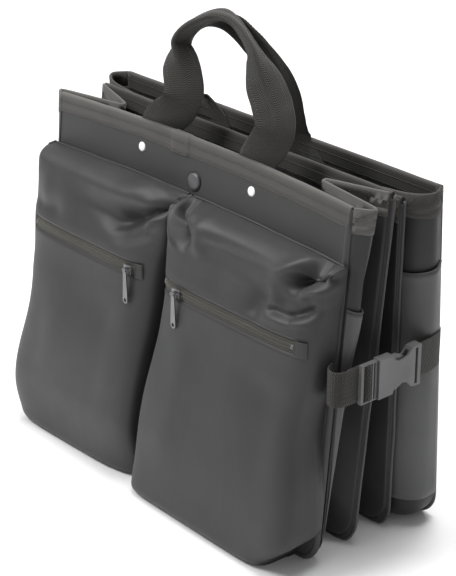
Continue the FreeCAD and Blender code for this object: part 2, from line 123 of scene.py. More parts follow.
def rounded(points, radius, samples=5):
    """The polyline with each corner turned into a soft bend that starts radius before it."""
    p = [np.asarray(q, float) for q in points]
    out = [p[0]]
    for a, b, c in zip(p, p[1:], p[2:]):
        r1 = min(radius, 0.45 * np.linalg.norm(b - a))
        r2 = min(radius, 0.45 * np.linalg.norm(c - b))
        start, end = b + unit(a - b) * r1, b + unit(c - b) * r2
        for t in np.linspace(0, 1, samples):
            out.append((1 - t) ** 2 * start + 2 * t * (1 - t) * b + t ** 2 * end)
    out.append(p[-1])
    return np.array(out)


def run_length(points):
    """Distance along a polyline, from its start to each of its points."""
    return np.concatenate([[0], np.cumsum(np.linalg.norm(np.diff(points, axis=0), axis=1))])


def sample(values, s, t):
    """The values that stand at the distances s, read between them at the distances t."""
    return np.stack([np.interp(t, s, column) for column in values.T], axis=1)


def resample(points, count):
    """Evenly spaced points along a polyline."""
    p = np.asarray(points, float)
    s = run_length(p)
    return sample(p, s, np.linspace(0, s[-1], count))


def row_at(rows, at):
    """A line between two neighbouring lines of a grid."""
    k = int(at)
    return rows[k] * (1 - at + k) + rows[k + 1] * (at - k)


def lengths(grid, axis):
    """Distance from the grid's first row or column, measured along the cloth."""
    d = np.linalg.norm(np.diff(grid, axis=axis), axis=2)
    zero = np.zeros_like(np.take(d, [0], axis=axis))
    return np.concatenate([zero, np.cumsum(d, axis=axis)], axis=axis)


def wobble(points, size, scale, seed=0.0):
    """A soft random height for each point, the same on each run."""
    p = np.asarray(points, float).reshape(-1, 3)
    h = [noise.noise(Vector(q) / scale + Vector((seed, 2.7 * seed, -seed))) for q in p]
    return size * np.array(h).reshape(np.asarray(points).shape[:-1])


def mesh_object(name, verts, faces, cloth=None):
    """A new piece in the scene. cloth holds each point's place on its cloth, for the weave."""
    mesh = bpy.data.meshes.new(name)
    mesh.from_pydata([tuple(v) for v in verts], [], faces)
    mesh.update()
    if cloth is not None:
        attribute = mesh.attributes.new("cloth", "FLOAT_VECTOR", "POINT")
        attribute.data.foreach_set("vector", np.asarray(cloth, np.float32).ravel())
    for polygon in mesh.polygons:
        polygon.use_smooth = True
    obj = bpy.data.objects.new(name, mesh)
    bpy.context.scene.collection.objects.link(obj)
    return obj


def grid_faces(rows, cols, close_cols=False, flip=False):
    """Four-cornered faces between the points of a grid, row by row."""
    faces = []
    for i in range(rows - 1):
        for j in range(cols if close_cols else cols - 1):
            a, b = i * cols + j, i * cols + (j + 1) % cols
            faces.append((a + cols, b + cols, b, a) if flip else (a, b, b + cols, a + cols))
    return faces


def tube_faces(rings, sides):
    """The skin of a tube and a cap at each end."""
    caps = [tuple(reversed(range(sides))), tuple(range((rings - 1) * sides, rings * sides))]
    return grid_faces(rings, sides, close_cols=True) + caps


def cloth_grid(name, grid, flip=False):
    """A sheet through a grid of points, with its place on the cloth kept for the weave."""
    grid = np.asarray(grid, float)
    rows, cols = grid.shape[:2]
    cloth = np.stack([lengths(grid, 1), lengths(grid, 0), np.zeros((rows, cols))], axis=2)
    return mesh_object(name, grid.reshape(-1, 3), grid_faces(rows, cols, flip=flip), cloth.reshape(-1, 3))


def apply_modifiers(obj):
    """Turns the piece into its final mesh."""
    graph = bpy.context.evaluated_depsgraph_get()
    graph.update()
    final = bpy.data.meshes.new_from_object(obj.evaluated_get(graph), preserve_all_data_layers=True,
                                            depsgraph=graph)
    old = obj.data
    obj.modifiers.clear()
    obj.data = final
    bpy.data.meshes.remove(old)
    for polygon in obj.data.polygons:
        polygon.use_smooth = True
    return obj


def add_bevel(obj, width, segments):
    """Rounds the edges that are sharper than 30 degrees."""
    soft = obj.modifiers.new("bevel", "BEVEL")
    soft.width = width
    soft.segments = segments
    soft.limit_method = "ANGLE"
    soft.angle_limit = math.radians(30)


def thicken(obj, thickness, offset=-1.0, bevel=0.0):
    """Gives a sheet its thickness; offset -1 grows it to the back of its faces."""
    solid = obj.modifiers.new("solid", "SOLIDIFY")
    solid.thickness = thickness
    solid.offset = offset
    if bevel:
        add_bevel(obj, bevel, segments=2)
    return apply_modifiers(obj)


def fix_normals(obj):
    """Turns all faces of a closed piece outwards."""
    bm = bmesh.new()
    bm.from_mesh(obj.data)
    bmesh.ops.recalc_face_normals(bm, faces=bm.faces)
    bm.to_mesh(obj.data)
    bm.free()
    return obj


def fix_direction(obj):
    """Turns the faces so that most of them look forwards."""
    total = sum(p.normal.y * p.area for p in obj.data.polygons)
    if total > 0:
        obj.data.flip_normals()


def join(name, objects):
    """One object from several, which keeps each one's material and cloth places."""
    with bpy.context.temp_override(active_object=objects[0], selected_editable_objects=objects,
                                   selected_objects=objects):
        bpy.ops.object.join()
    objects[0].name = name
    return objects[0]


def dress(obj, slot, material, *nodes):
    """Gives a piece its finish, and hides the CAD nodes that it stands for."""
    obj.data.materials.clear()
    obj.data.materials.append(materials[material])
    if nodes:
        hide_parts(*nodes)
    return obj


def place(obj, body, slot, material, *nodes):
    """Rides on a body, takes a finish and stands for these CAD nodes."""
    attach(obj, body)
    return dress(obj, slot, material, *nodes)


def paint(node, material):
    """A carried-over CAD node takes a finished material."""
    slots = frame["nodes"][node].data.materials
    slots.clear()
    slots.append(materials[material])


def strip(name, centres, across, width, thick, edge=4):
    """A flat band with rounded edges along a line. across is the direction of its width."""
    c = np.asarray(centres, float)
    along = unit(np.gradient(c, axis=0))
    a = unit(np.asarray(across, float) - along * np.sum(along * across, axis=1, keepdims=True))
    face = np.cross(along, a)
    section = []
    for side in (1, -1):
        for k in range(edge + 1):
            angle = math.pi / 2 - math.pi * k / edge
            section.append((side, side * math.cos(angle), side * math.sin(angle)))
        section += [(side * share, 0.0, -side) for share in (0.5, 0.0, -0.5)]
    verts, cloth = [], []
    for i, run in enumerate(run_length(c)):
        for side, out, up in section:
            x = side * (width / 2 - thick / 2) + out * thick / 2
            verts.append(c[i] + a[i] * x + face[i] * (up * thick / 2))
            cloth.append((run, x, 0.0))
    return fix_normals(mesh_object(name, verts, tube_faces(len(c), len(section)), cloth))


def ring(centre, a, b, radius, sides):
    """Points round a circle that a and b span."""
    turns = [2 * math.pi * k / sides for k in range(sides)]
    return [centre + (a * math.cos(turn) + b * math.sin(turn)) * radius for turn in turns]


def rod(name, points, radius, sides=8):
    """A round cord of even thickness along a line, closed at its ends."""
    c = np.asarray(points, float)
    along = unit(np.gradient(c, axis=0))
    reference = np.array([0.0, 0.0, 1.0]) if abs(along[0][2]) < 0.9 else np.array([1.0, 0.0, 0.0])
    verts = []
    normal = unit(np.cross(along[0], reference))
    for i in range(len(c)):
        normal = unit(normal - along[i] * np.dot(normal, along[i]))
        verts += ring(c[i], normal, np.cross(along[i], normal), radius, sides)
    return fix_normals(mesh_object(name, verts, tube_faces(len(c), sides)))


def threads(name, middle, up, along, length, radius, sides=5):
    """Short raised threads that dip into the cloth at both ends, one for each middle."""
    side = np.cross(along, up)
    verts, faces = [], []
    profile = ((-0.5, -0.5, 0.55), (-0.28, 0.55, 1.0), (0.28, 0.55, 1.0), (0.5, -0.5, 0.55))
    one = tube_faces(len(profile), sides)
    for m, u, a, b in zip(middle, up, along, side):
        faces += [tuple(len(verts) + v for v in face) for face in one]
        for x, h, r in profile:
            verts += ring(m + a * x * length + u * h * radius, b, u, radius * r, sides)
    return mesh_object(name, verts, faces)


def spaced(points, normals, pitch):
    """Evenly spaced places along a line, with the direction out of the cloth and the one along it."""
    p = np.asarray(points, float)
    s = run_length(p)
    normals = np.broadcast_to(np.asarray(normals, float), p.shape)
    count = max(1, int(s[-1] / pitch))
    at = (np.arange(count) + 0.5) * s[-1] / count
    ahead, behind = sample(p, s, np.minimum(at + 0.001, s[-1])), sample(p, s, np.maximum(at - 0.001, 0))
    return sample(p, s, at), unit(sample(normals, s, at)), unit(ahead - behind)


STITCHES = {  # pitch, length and radius
    "hem": (0.0034, 0.0024, 0.00032), "zip": (0.0030, 0.0021, 0.00024), "tab": (0.0026, 0.0018, 0.00024),
    "pocket": (0.0032, 0.0023, 0.00024), "handle": (0.0036, 0.0026, 0.00034),
}


def stitches(name, points, normals, kind):
    """A row of sewn stitches."""
    pitch, length, radius = STITCHES[kind]
    return threads(name, *spaced(points, normals, pitch), length, radius)


def lathe(name, profile, centre, axis, steps=40):
    """A turned piece: profile is (radius, height along the axis) from the rim to the middle."""
    axis = unit(np.asarray(axis, float))
    side = unit(np.cross(axis, (0.0, 0.0, 1.0) if abs(axis[2]) < 0.9 else (1.0, 0.0, 0.0)))
    other = np.cross(axis, side)
    verts = []
    for radius, height in profile:
        verts += ring(centre + axis * height, side, other, max(radius, 1e-5), steps)
    return fix_normals(mesh_object(name, verts, tube_faces(len(profile), steps)))


# ---- materials ----
SOCKETS = {"colour": "Base Color", "roughness": "Roughness", "metal": "Metallic", "normal": "Normal",
           "sheen": "Sheen Weight", "sheen_roughness": "Sheen Roughness", "specular": "Specular IOR Level"}


class Nodes:
    """A short way to write a node material."""

    def __init__(self, name):
        self.material = bpy.data.materials.new(name)
        self.material.use_nodes = True
        self.tree = self.material.node_tree
        self.shader = self.tree.nodes["Principled BSDF"]

    def add(self, kind, inputs=None, **settings):
        node = self.tree.nodes.new(kind)
        for key, value in settings.items():
            setattr(node, key, value)
        for key, value in (inputs or {}).items():
            self.feed(node.inputs[key], value)
        return node

    def feed(self, socket, value):
        if hasattr(value, "outputs"):
            value = value.outputs[0]
        if isinstance(value, bpy.types.NodeSocket):
            self.tree.links.new(value, socket)
        else:
            socket.default_value = value

    def math(self, operation, a, b=0.0, c=0.0):
        return self.add("ShaderNodeMath", {0: a, 1: b, 2: c}, operation=operation)

    def noise(self, scale, detail=3.0, vector=None, roughness=0.5):
        node = self.add("ShaderNodeTexNoise", {"Scale": scale, "Detail": detail, "Roughness": roughness})
        self.feed(node.inputs["Vector"], vector or self.add("ShaderNodeTexCoord").outputs["Object"])
        return node.outputs["Fac"]

    def between(self, factor, low, high):
        return self.add("ShaderNodeMapRange", {"Value": factor, "To Min": low, "To Max": high})

    def tint(self, factor, dark, light):
        ramp = self.add("ShaderNodeValToRGB", {"Fac": factor})
        ramp.color_ramp.elements[0].color = (*dark, 1)
        ramp.color_ramp.elements[1].color = (*light, 1)
        ramp.color_ramp.elements[0].position = 0.3
        ramp.color_ramp.elements[1].position = 0.7
        return ramp.outputs["Color"]

    def scale(self, tone, factor):
        node = self.add("ShaderNodeVectorMath", {0: tone}, operation="SCALE")
        self.feed(node.inputs["Scale"], factor)
        return node.outputs[0]

    def bump(self, height, distance, strength=1.0, under=None):
        node = self.add("ShaderNodeBump", {"Height": height, "Distance": distance, "Strength": strength})
        if under is not None:
            self.feed(node.inputs["Normal"], under)
        return node.outputs["Normal"]

    def set(self, **values):
        for key, value in values.items():
            self.feed(self.shader.inputs[SOCKETS[key]], value)
        return self.material


def scaled(colour, factor):
    """A lighter or darker shade of a colour."""
    return tuple(c * factor for c in colour)


def weave_height(n, kind, pitch):
    """Height of the threads: plain cloth, ribbed tape, or the coarse diagonal of webbing."""
    place_on_cloth = n.add("ShaderNodeAttribute", attribute_name="cloth").outputs["Vector"]
    split = n.add("ShaderNodeSeparateXYZ", {"Vector": place_on_cloth})
    turn = 2 * math.pi / pitch
    u = n.math("MULTIPLY", split.outputs["X"], turn)
    v = n.math("MULTIPLY", split.outputs["Y"], turn)
    if kind == "plain":
        return n.math("MULTIPLY", n.math("SINE", u), n.math("SINE", v))
    if kind == "rib":
        return n.math("SINE", u)
    wave = n.math("SINE", n.math("MULTIPLY", v, 0.5))
    slant = n.math("ADD", u, n.math("MULTIPLY", wave, 1.3))
    return n.math("MULTIPLY", n.math("SINE", slant), n.math("ABSOLUTE", wave))


def cloth_material(name, colour, pitch, kind="plain", roughness=0.6, relief=0.00006, contrast=0.12, sheen=0.1,
                   specular=0.4):
    """Woven cloth: threads, soft patches of tone, a little lint, and worn high places."""
    n = Nodes(name)
    weave = weave_height(n, kind, pitch)
    tone = n.tint(n.noise(9.0, 4.0), scaled(colour, 0.88), scaled(colour, 1.12))
    worn = n.add("ShaderNodeNewGeometry").outputs["Pointiness"]
    high = n.add("ShaderNodeMapRange", {"Value": worn, "From Min": 0.47, "From Max": 0.56})
    wear = n.between(high, 0.85, 1.22)
    thread_tone = n.between(weave, 1 - contrast, 1 + contrast)
    thread_tone.inputs["From Min"].default_value = -1.0
    lint = n.between(n.noise(900.0, 2.0), 0.9, 1.12)
    light = n.math("MULTIPLY", n.math("MULTIPLY", thread_tone, lint), wear)
    rough = n.between(n.noise(40.0, 3.0), roughness - 0.07, roughness + 0.07)
    creases = n.bump(n.noise(70.0, 4.0), 0.0006, 0.35)
    return n.set(colour=n.scale(tone, light), roughness=rough, normal=n.bump(weave, relief, 1.0, creases),
                 sheen=sheen, sheen_roughness=0.4, specular=specular)


def plastic_material(name, colour, roughness, grain=0.00004, worn=1.25):
    """Moulded plastic: fine spark texture, slightly polished and paler on its edges."""
    n = Nodes(name)
    point = n.add("ShaderNodeNewGeometry").outputs["Pointiness"]
    edge = n.add("ShaderNodeMapRange", {"Value": point, "From Min": 0.5, "From Max": 0.6})
    tone = n.tint(n.noise(60.0, 3.0), scaled(colour, 0.93), scaled(colour, 1.07))
    rough = n.between(n.noise(500.0, 2.0), roughness - 0.06, roughness + 0.08)
    return n.set(colour=n.scale(tone, n.between(edge, 1.0, worn)), roughness=rough,
                 normal=n.bump(n.noise(2500.0, 2.0), grain, 0.6), specular=0.5)


def metal_material(name, colour, roughness, metal=1.0, scratches=0.00003):
    """Plated or lacquered metal: fine scratches, duller in patches."""
    n = Nodes(name)
    tone = n.tint(n.noise(120.0, 3.0), scaled(colour, 0.88), scaled(colour, 1.08))
    stretched = n.add("ShaderNodeMapping", {"Scale": (1.0, 1.0, 0.06)})
    n.feed(stretched.inputs["Vector"], n.add("ShaderNodeTexCoord").outputs["Object"])
    lines = n.noise(4000.0, 2.0, stretched.outputs["Vector"])
    rough = n.between(n.noise(300.0, 3.0), roughness - 0.06, roughness + 0.12)
    return n.set(colour=tone, roughness=rough, metal=metal, normal=n.bump(lines, scratches, 0.5))


NYLON = (0.0325, 0.0325, 0.033)
TAPE = (0.068, 0.065, 0.061)


def nylon(name, tone, roughness=0.5, sheen=0.1, specular=0.42):
    return cloth_material(name, scaled(NYLON, tone), 0.0008, roughness=roughness, relief=0.00003,
                          contrast=0.05, sheen=sheen, specular=specular)


def ribbed(name, colour, pitch, relief, contrast, sheen):
    return cloth_material(name, colour, pitch, "rib", roughness=0.8, relief=relief, contrast=contrast,
                          sheen=sheen, specular=0.25)


materials = {
    "nylon": nylon("coated_nylon", 1.0),
    # painted shade: a darker copy of the wall's nylon, so the front pockets come out darker than the wall
    "pocket": nylon("pocket_nylon_painted_shade", 0.72, sheen=0.08),
    # painted shade: a darker copy of the nylon for the gussets and dividers, whose side faces lie in shade
    "gusset": nylon("gusset_nylon_painted_shade", 0.48, roughness=0.52, sheen=0.08, specular=0.4),
    # painted highlight: a lighter copy of the nylon, so the piping cords show the light line of their lit
    # crests
    "piping": nylon("piping_nylon_painted_highlight", 1.5, roughness=0.6, specular=0.3),
    # painted light: a lighter copy of the nylon, so the slip pockets come out brighter than the gusset they
    # sit on
    "slip": nylon("slip_pocket_painted_light", 1.9),
    "lining": cloth_material("lining_cloth", scaled(NYLON, 0.7), 0.0007, roughness=0.75, relief=0.00003),
    "tape": ribbed("hem_tape", TAPE, 0.0011, 0.0001, 0.16, sheen=0.15),
    # painted shade: a darker copy of the hem tape for the hems away from the front, which lie in shade
    "edge": ribbed("edge_tape_painted_shade", scaled(TAPE, 0.55), 0.0011, 0.0001, 0.16, sheen=0.1),
    "web": cloth_material("webbing", (0.026, 0.0248, 0.022), 0.0021, "web", roughness=0.78, relief=0.00045,
                          contrast=0.5, sheen=0.12, specular=0.3),
    "zip_tape": ribbed("zip_tape", (0.050, 0.048, 0.041), 0.0009, 0.00008, 0.2, sheen=0.1),
    "thread": cloth_material("sewing_thread", (0.06, 0.058, 0.055), 0.0004, "rib", roughness=0.7,
                             relief=0.00002, contrast=0.05),
    "coil": plastic_material("zip_coil", (0.085, 0.082, 0.070), 0.45),
    "buckle_plastic": plastic_material("buckle_plastic", (0.085, 0.085, 0.087), 0.42),
    "board": plastic_material("board_plastic", (0.02, 0.02, 0.022), 0.5),
    "zip_metal": metal_material("zip_metal", (0.20, 0.20, 0.205), 0.38),
    "snap_cap": metal_material("snap_cap_lacquer", (0.10, 0.10, 0.105), 0.38, metal=0.3),
    # painted shade: the rim is much darker than the cap face all round, standing in for the shade on its
    # lower right side
    "snap_rim": metal_material("snap_rim_painted_shade", (0.02, 0.02, 0.021), 0.4, metal=0.2),
    "snap_metal": metal_material("snap_metal", (0.55, 0.55, 0.56), 0.3),
    # painted reflection: near-white and hardly metallic, standing in for the bright reflection on the plated
    # rivet caps
    "rivet": metal_material("rivet_painted_reflection", (0.93, 0.93, 0.92), 0.35, metal=0.1),
}


# ---- the walls, from the frame ----
SKIN = {"front_panel": 0.001, "first_divider": 0.0024, "second_divider": 0.0024, "rear_lining": 0.0008}
THICK = {"cloth": 0.001, "board": 0.0018, "lining": 0.0008, "wall": 0.0038, "tape": 0.0008, "binding": 0.0006,
         "gusset": 0.0012, "slip": 0.0009, "pocket": 0.0012, "zip_tape": 0.0007, "webbing": 0.0016}
SOFT_CORNER = 0.024                  # the cloth fills the corners out further than the plates
REAR_CORNER = 0.027
BOW_BACK, BOW_UP = 0.007, 0.0035     # the handles pull the middle of the front wall's top edge back and up
LOWEST = 0.0006                      # cloth stays this far above the floor


class Wall:
    """A flat leaning wall: its front face at the floor and the top, its thickness and half width."""

    def __init__(self, front_node, back_node, rear_lean=False):
        low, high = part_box(front_node)
        self.top, self.half = high.z, high.x
        self.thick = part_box(back_node)[1].y - high.y + SKIN[front_node]
        self.corner = REAR_CORNER if rear_lean else SOFT_CORNER
        foremost, rearmost = low.y, high.y - SKIN[front_node]
        self.low, self.high = (rearmost, foremost) if rear_lean else (foremost, rearmost)

    def y(self, z):
        return self.low + (self.high - self.low) * z / self.top


front = Wall("front_panel", "front_lining")
first = Wall("first_divider", "first_divider")
second = Wall("second_divider", "second_divider")
rear = Wall("rear_lining", "rear_panel", rear_lean=True)
front.thick = rear.thick = THICK["wall"]
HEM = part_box("front_binding")[1].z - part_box("front_binding")[0].z


def bow(x, z):
    """How far the front wall's bow moves a place on it, back and up."""
    share = np.maximum(0, 1 - (np.asarray(x) / front.half) ** 2) * smooth(0.19, front.top, np.asarray(z))
    return BOW_BACK * share, BOW_UP * share


def bend(points, share=1.0):
    """Moves points with the front wall's bow, by a share of it."""
    back, up = bow(points[..., 0], points[..., 2])
    points[..., 1] += back * share
    points[..., 2] += up * share


def on_front(x, z, out=0.0):
    """A point on the front wall's face as it really hangs, moved out of it by a distance."""
    x, z = np.asarray(x, float), np.asarray(z, float)
    back, up = bow(x, z)
    return np.stack(np.broadcast_arrays(x, front.y(z) + back - out, z + up), axis=-1)


def wall_sheet(name, wall, depth, thickness, ripple=0.0, bowed=False, rows=46, cols=64):
    """The cloth of one wall face, a little uneven, with round bottom corners."""
    r = wall.corner
    z = np.concatenate([r * (1 - np.cos(np.linspace(0, math.pi / 2, 8))), np.linspace(r, wall.top, rows)[1:]])
    rise = np.clip(r - z, 0, r)
    half = wall.half - r + np.sqrt(np.maximum(r ** 2 - rise ** 2, 0))
    x = half[:, None] * np.linspace(-1, 1, cols)[None, :]
    z = np.repeat(np.maximum(z, LOWEST)[:, None], cols, axis=1)
    points = np.stack([x, wall.y(z) + depth, z], axis=2)
    points[..., 1] -= np.abs(wobble(points, ripple, 0.06, 3.1))
    if bowed:
        bend(points)
    return thicken(cloth_grid(name, points), thickness)


LAP_LONG, LAP_HIGH = 0.024, 0.0007   # where the hem tape's ends lie one over the other


def hem_tape(name, wall, bowed=False, lap=None):
    """The ribbed tape that is folded over a wall's top edge, and its two rows of stitches.

    lap is where the tape's two ends meet, one over the other.
    """
    x = np.linspace(-wall.half - 0.0006, wall.half + 0.0006, 220)
    t = THICK["tape"]
    height = HEM * np.ones_like(x) + wobble(np.stack([x, x * 0, x * 0], 1), 0.0012, 0.05, 5.0)
    double = np.zeros_like(x)
    if lap is not None:
        double = smooth(lap - 0.0012, lap, x) * (1 - smooth(lap + LAP_LONG, lap + LAP_LONG + 0.0012, x))
    height = height * (1 + 0.05 * double)
    falls = (-1.0, -0.75, -0.5, -0.3, -0.12)
    section = [(-t, fall, -1) for fall in falls]
    section += [(-t * 0.4, 0.0, -0.5), (wall.thick / 2, 0.02, 0), (wall.thick + t * 0.4, 0.0, 0.5)]
    section += [(wall.thick + t, fall, 1) for fall in falls[::-1]]
    rows = []
    for y, share, out in section:
        z = wall.top + t + share * height + (LAP_HIGH * double if abs(out) < 1 else 0)
        row = np.stack([x, wall.y(np.minimum(z, wall.top)) + y, z], axis=1)
        row[:, 1] += wobble(row, 0.0006, 0.03, 8.0) + out * LAP_HIGH * double
        rows.append(row)
    grid = np.array(rows)
    if bowed:
        bend(grid)
    tape = thicken(cloth_grid(name, grid, flip=True), t, offset=1.0)
    seams = []
    for face, lift in ((grid[:5], -1.0), (grid[8:][::-1], 1.0)):
        for share in (0.16, 0.66):
            line = row_at(face, share * 4) + np.array([0.0, lift * (t + 0.0001), 0.0])
            seams.append(stitches(f"{name}_stitches_{lift}_{share}", line, (0.0, lift, 0.12), "hem"))
    return tape, join(name + "_stitching", seams)


def edge_run(wall, gap, count, lowest=0.0):
    """A wall's side and bottom edges as (x, z), from gap under the top right round to the top left.

    The second result points out of the wall at each place.
    """
    r = wall.corner
    turns = np.linspace(0, math.pi / 2, 9)
    corner = [(wall.half - r * (1 - math.cos(a)), r * (1 - math.sin(a))) for a in turns]
    right = [(wall.half, z) for z in np.linspace(wall.top - gap, r + 0.002, 40)] + corner
    run = resample(np.array(right + [(-x, z) for x, z in right[::-1]]), count)
    run[:, 1] = np.maximum(run[:, 1], lowest)
    turn = unit(np.gradient(run, axis=0))
    return run, np.stack([-turn[:, 1], turn[:, 0]], axis=1)


def side_binding(name, wall, y_front, y_back, out, lift=0.0, inset=0.0035):
    """A narrow band folded over a wall's side and bottom edges."""
    run, away = edge_run(wall, 0.001 + lift, 260, lowest=0.0009)
    middle, half = (y_front + y_back) / 2, (y_back - y_front) / 2
    rows = []
    for angle in np.linspace(0, math.pi, 9):
        edge = run + away * (out * math.sin(angle) - inset * (1 - math.sin(angle)))
        z = np.maximum(edge[:, 1], 0.0003)
        y = wall.y(np.clip(z, 0, wall.top)) + middle - half * math.cos(angle)
        rows.append(np.stack([edge[:, 0], y, z], axis=1))
    grid = np.array(rows)
    if wall is front:
        bend(grid)
    return fix_normals(thicken(cloth_grid(name, grid), THICK["binding"], offset=0.0))


def side_cord(name, wall, y, out, radius, seed):
    """The thin piping along a wall's side edge; its lighter nylon is a painted highlight that shows as a
    light line.
    """
    run, away = edge_run(wall, 0.002, 300)
    edge = run + away * out
    z = np.maximum(edge[:, 1], radius + 0.0002)
    points = np.stack([edge[:, 0], wall.y(np.clip(z, 0, wall.top)) + y, z], axis=1)
    points[:, 1] += wobble(points, 0.0012, 0.05, seed)
    points[:, 0] += wobble(points, 0.0008, 0.04, seed + 3)
    return rod(name, points, radius)


def make_walls():
    panel = wall_sheet("front_wall_cloth", front, 0.0, THICK["cloth"], ripple=0.0006, bowed=True)
    place(panel, "front", "coated_nylon", "nylon", "front_panel")
    inner = wall_sheet("front_wall_lining", front, front.thick - THICK["lining"], THICK["lining"], bowed=True)
    place(inner, "front", "lining", "lining", "front_lining")
    board = wall_sheet("front_wall_board", front, 0.0012, THICK["board"], bowed=True)
    place(board, "front", "board", "board", "front_board")
    back = wall_sheet("rear_wall_cloth", rear, rear.thick, THICK["cloth"])
    place(back, "rear", "coated_nylon", "nylon", "rear_panel")
    for name, wall in (("first_divider", first), ("second_divider", second)):
        cloth = wall_sheet(name + "_cloth", wall, 0.0, SKIN[name], ripple=0.0004)
        # the divider cloth takes the darker gusset nylon: painted shade
        place(cloth, name, "coated_nylon", "gusset", name)
        cord = side_cord(name + "_piping", wall, 0.0006, 0.0030, 0.0014, 2.0)
        # the cord takes the lighter piping nylon: painted highlight
        place(cord, name, "coated_nylon", "piping")
        band = side_binding(name + "_side_binding", wall, -0.0022, 0.0046, 0.0022, lift=0.004)
        # the divider's side binding takes the darker gusset nylon: painted shade
        place(band, name, "coated_nylon", "gusset")
    for name, wall in (("front", front), ("rear", rear)):
        band = side_binding(name + "_side_binding", wall, -0.0006, wall.thick + 0.0012, 0.0016)
        place(band, name, "coated_nylon", "nylon")
    # the rear and divider hems take the darker edge tape: painted shade
    for name, wall, lap, tape_shading in (("front", front, -0.036, "tape"), ("rear", rear, None, "edge"),
                                       ("first_divider", first, None, "edge"),
                                       ("second_divider", second, None, "edge")):
        tape, seam = hem_tape(name + "_hem", wall, bowed=wall is front, lap=lap)
        place(tape, name, "hem_tape", tape_shading, name + "_binding")
        place(seam, name, "hem_tape", "thread")
    paint("rear_lining", "lining")
    paint("rear_board", "board")


# ---- gussets ----
ROW_COUNT = 150                      # places along a gusset's rails
PLEAT_COUNT = 44                     # places across its pleats


def rail(half_top, half_low, y_top, y_low, y_under, z_low, radius, z_top, droop=0.0, spread=0.0):
    """A fold line of a gusset, as in the frame: down the right side, round below, up the left side."""
    right = []
    for share in np.linspace(1, 0, 12):
        z = z_low + radius + (z_top - z_low - radius) * share
        right.append((half_low + (half_top - half_low) * share, y_low + (y_top - y_low) * share, z))
    for a in np.radians(np.linspace(0, 90, 9)[1:]):
        y = y_low + (y_under - y_low) * min(1.0, a / math.radians(60))
        right.append((half_low - radius * (1 - math.cos(a)), y, z_low + radius * (1 - math.sin(a))))
    right = np.array(right)
    left = right[::-1] * np.array([-1.0, 1.0, 1.0])
    high = smooth(z_top - 0.12, z_top, left[:, 2])
    left[:, 2] -= droop * high
    left[:, 0] -= spread * high
    middle = [right[-1] + (left[0] - right[-1]) * t for t in np.linspace(0, 1, 16)[1:-1]]
    return resample(np.vstack([right, middle, left]), ROW_COUNT)


def divider_seam(wall, offset, z_top):
    """The line where a gusset is sewn to a divider, before it or behind it."""
    y_low = wall.y(SOFT_CORNER + 0.004) + offset
    y_under = y_low if offset > 0 else wall.y(0.004) + offset
    return rail(wall.half, wall.half, wall.high + offset, y_low, y_under, 0.004, SOFT_CORNER, z_top)


def gusset_rails():
    """Each gusset's seams and fold lines, from its front wall to its rear wall."""
    ahead, behind = -0.0018, 0.0042      # the seams' places before and behind a divider's front face
    fold_foot, seam_foot = 0.07, 0.004   # how far the inner folds and the seams stay above the floor
    top = front.top
    out_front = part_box("front_gusset")[1].x - 0.0002
    out_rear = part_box("rear_gusset")[1].x - 0.0002
    return {
        "front": [
            rail(front.half + 0.0016, front.half + 0.0016, front.high + 0.002, front.low + 0.0078,
                 front.low + 0.0078, seam_foot, SOFT_CORNER, top),
            rail(out_front - 0.002, out_front - 0.028, front.high + 0.015, front.low + 0.011,
                 front.low + 0.015, 0.003, SOFT_CORNER, top, 0.004),
            rail(0.134, 0.162, 0.011, -0.024, -0.024, fold_foot, 0.02, top, 0.002),
            divider_seam(first, ahead, top),
        ],
        "middle": [
            divider_seam(first, behind, top - 0.006),
            rail(0.158, 0.15, 0.0415, 0.023, 0.023, fold_foot, 0.02, top - 0.008),
            divider_seam(second, ahead, second.top - 0.002),
        ],
        "rear": [
            divider_seam(second, behind, second.top - 0.002),
            rail(0.168, 0.16, 0.05, 0.048, 0.048, fold_foot, 0.02, top - 0.008),
            rail(0.214, 0.208, 0.050, 0.050, 0.052, 0.008, SOFT_CORNER, top - 0.004),
            rail(out_rear - 0.001, out_rear - 0.005, 0.064, 0.066, 0.066, 0.003, REAR_CORNER, top - 0.002,
                 spread=0.010),
            rail(rear.half + 0.001, rear.half + 0.001, rear.high + 0.0015, rear.low + 0.0015,
                 rear.low + 0.0015, seam_foot, REAR_CORNER, top),
        ],
    }


def pleat_grid(rails):
    """The folded cloth between a gusset's seams, with soft bends at the folds."""
    return np.array([resample(rounded(points, 0.02, 7), PLEAT_COUNT) for points in zip(*rails)])


def grid_normals(grid):
    """The direction out of the cloth at each point of a grid."""
    return unit(np.cross(np.gradient(grid, axis=0), np.gradient(grid, axis=1)))


GUSSETS = {"front": ("front", "first_divider"), "middle": ("first_divider", "second_divider"),
           "rear": ("second_divider", "rear")}


def make_gussets():
    for name, rails in gusset_rails().items():
        grid = pleat_grid(rails)
        normals = grid_normals(grid)
        sag = wobble(grid, 0.0022, 0.05, 11.0 + len(name))
        place_across = np.arange(PLEAT_COUNT)
        edge = np.minimum(1, np.minimum(place_across, place_across[::-1]) / 6.0)
        calm = 1 - 0.9 * smooth(front.top - 0.07, front.top - 0.02, grid[..., 2])
        grid = grid + normals * (sag * edge[None, :] * calm)[..., None]
        grid[..., 2] = np.maximum(grid[..., 2], 0.0012)
        cloth = thicken(cloth_grid(name + "_gusset_cloth", grid), THICK["gusset"], offset=0.0)
        # the gusset cloth takes the darker gusset nylon: painted shade
        finish_gusset(cloth, name, "coated_nylon", "gusset", rails, name + "_gusset")
        tape = gusset_hem(name, grid, normals)
        # the hems of the middle and rear gussets take the darker edge tape: painted shade
        finish_gusset(tape, name, "hem_tape", "tape" if name == "front" else "edge", rails)
        pocket, hem = slip_pockets(name, grid, normals)
        # the slip pockets take the lighter slip nylon: painted light
        finish_gusset(pocket, name, "coated_nylon", "slip", rails, name + "_side_pockets")
        finish_gusset(hem, name, "coated_nylon", "nylon", rails)


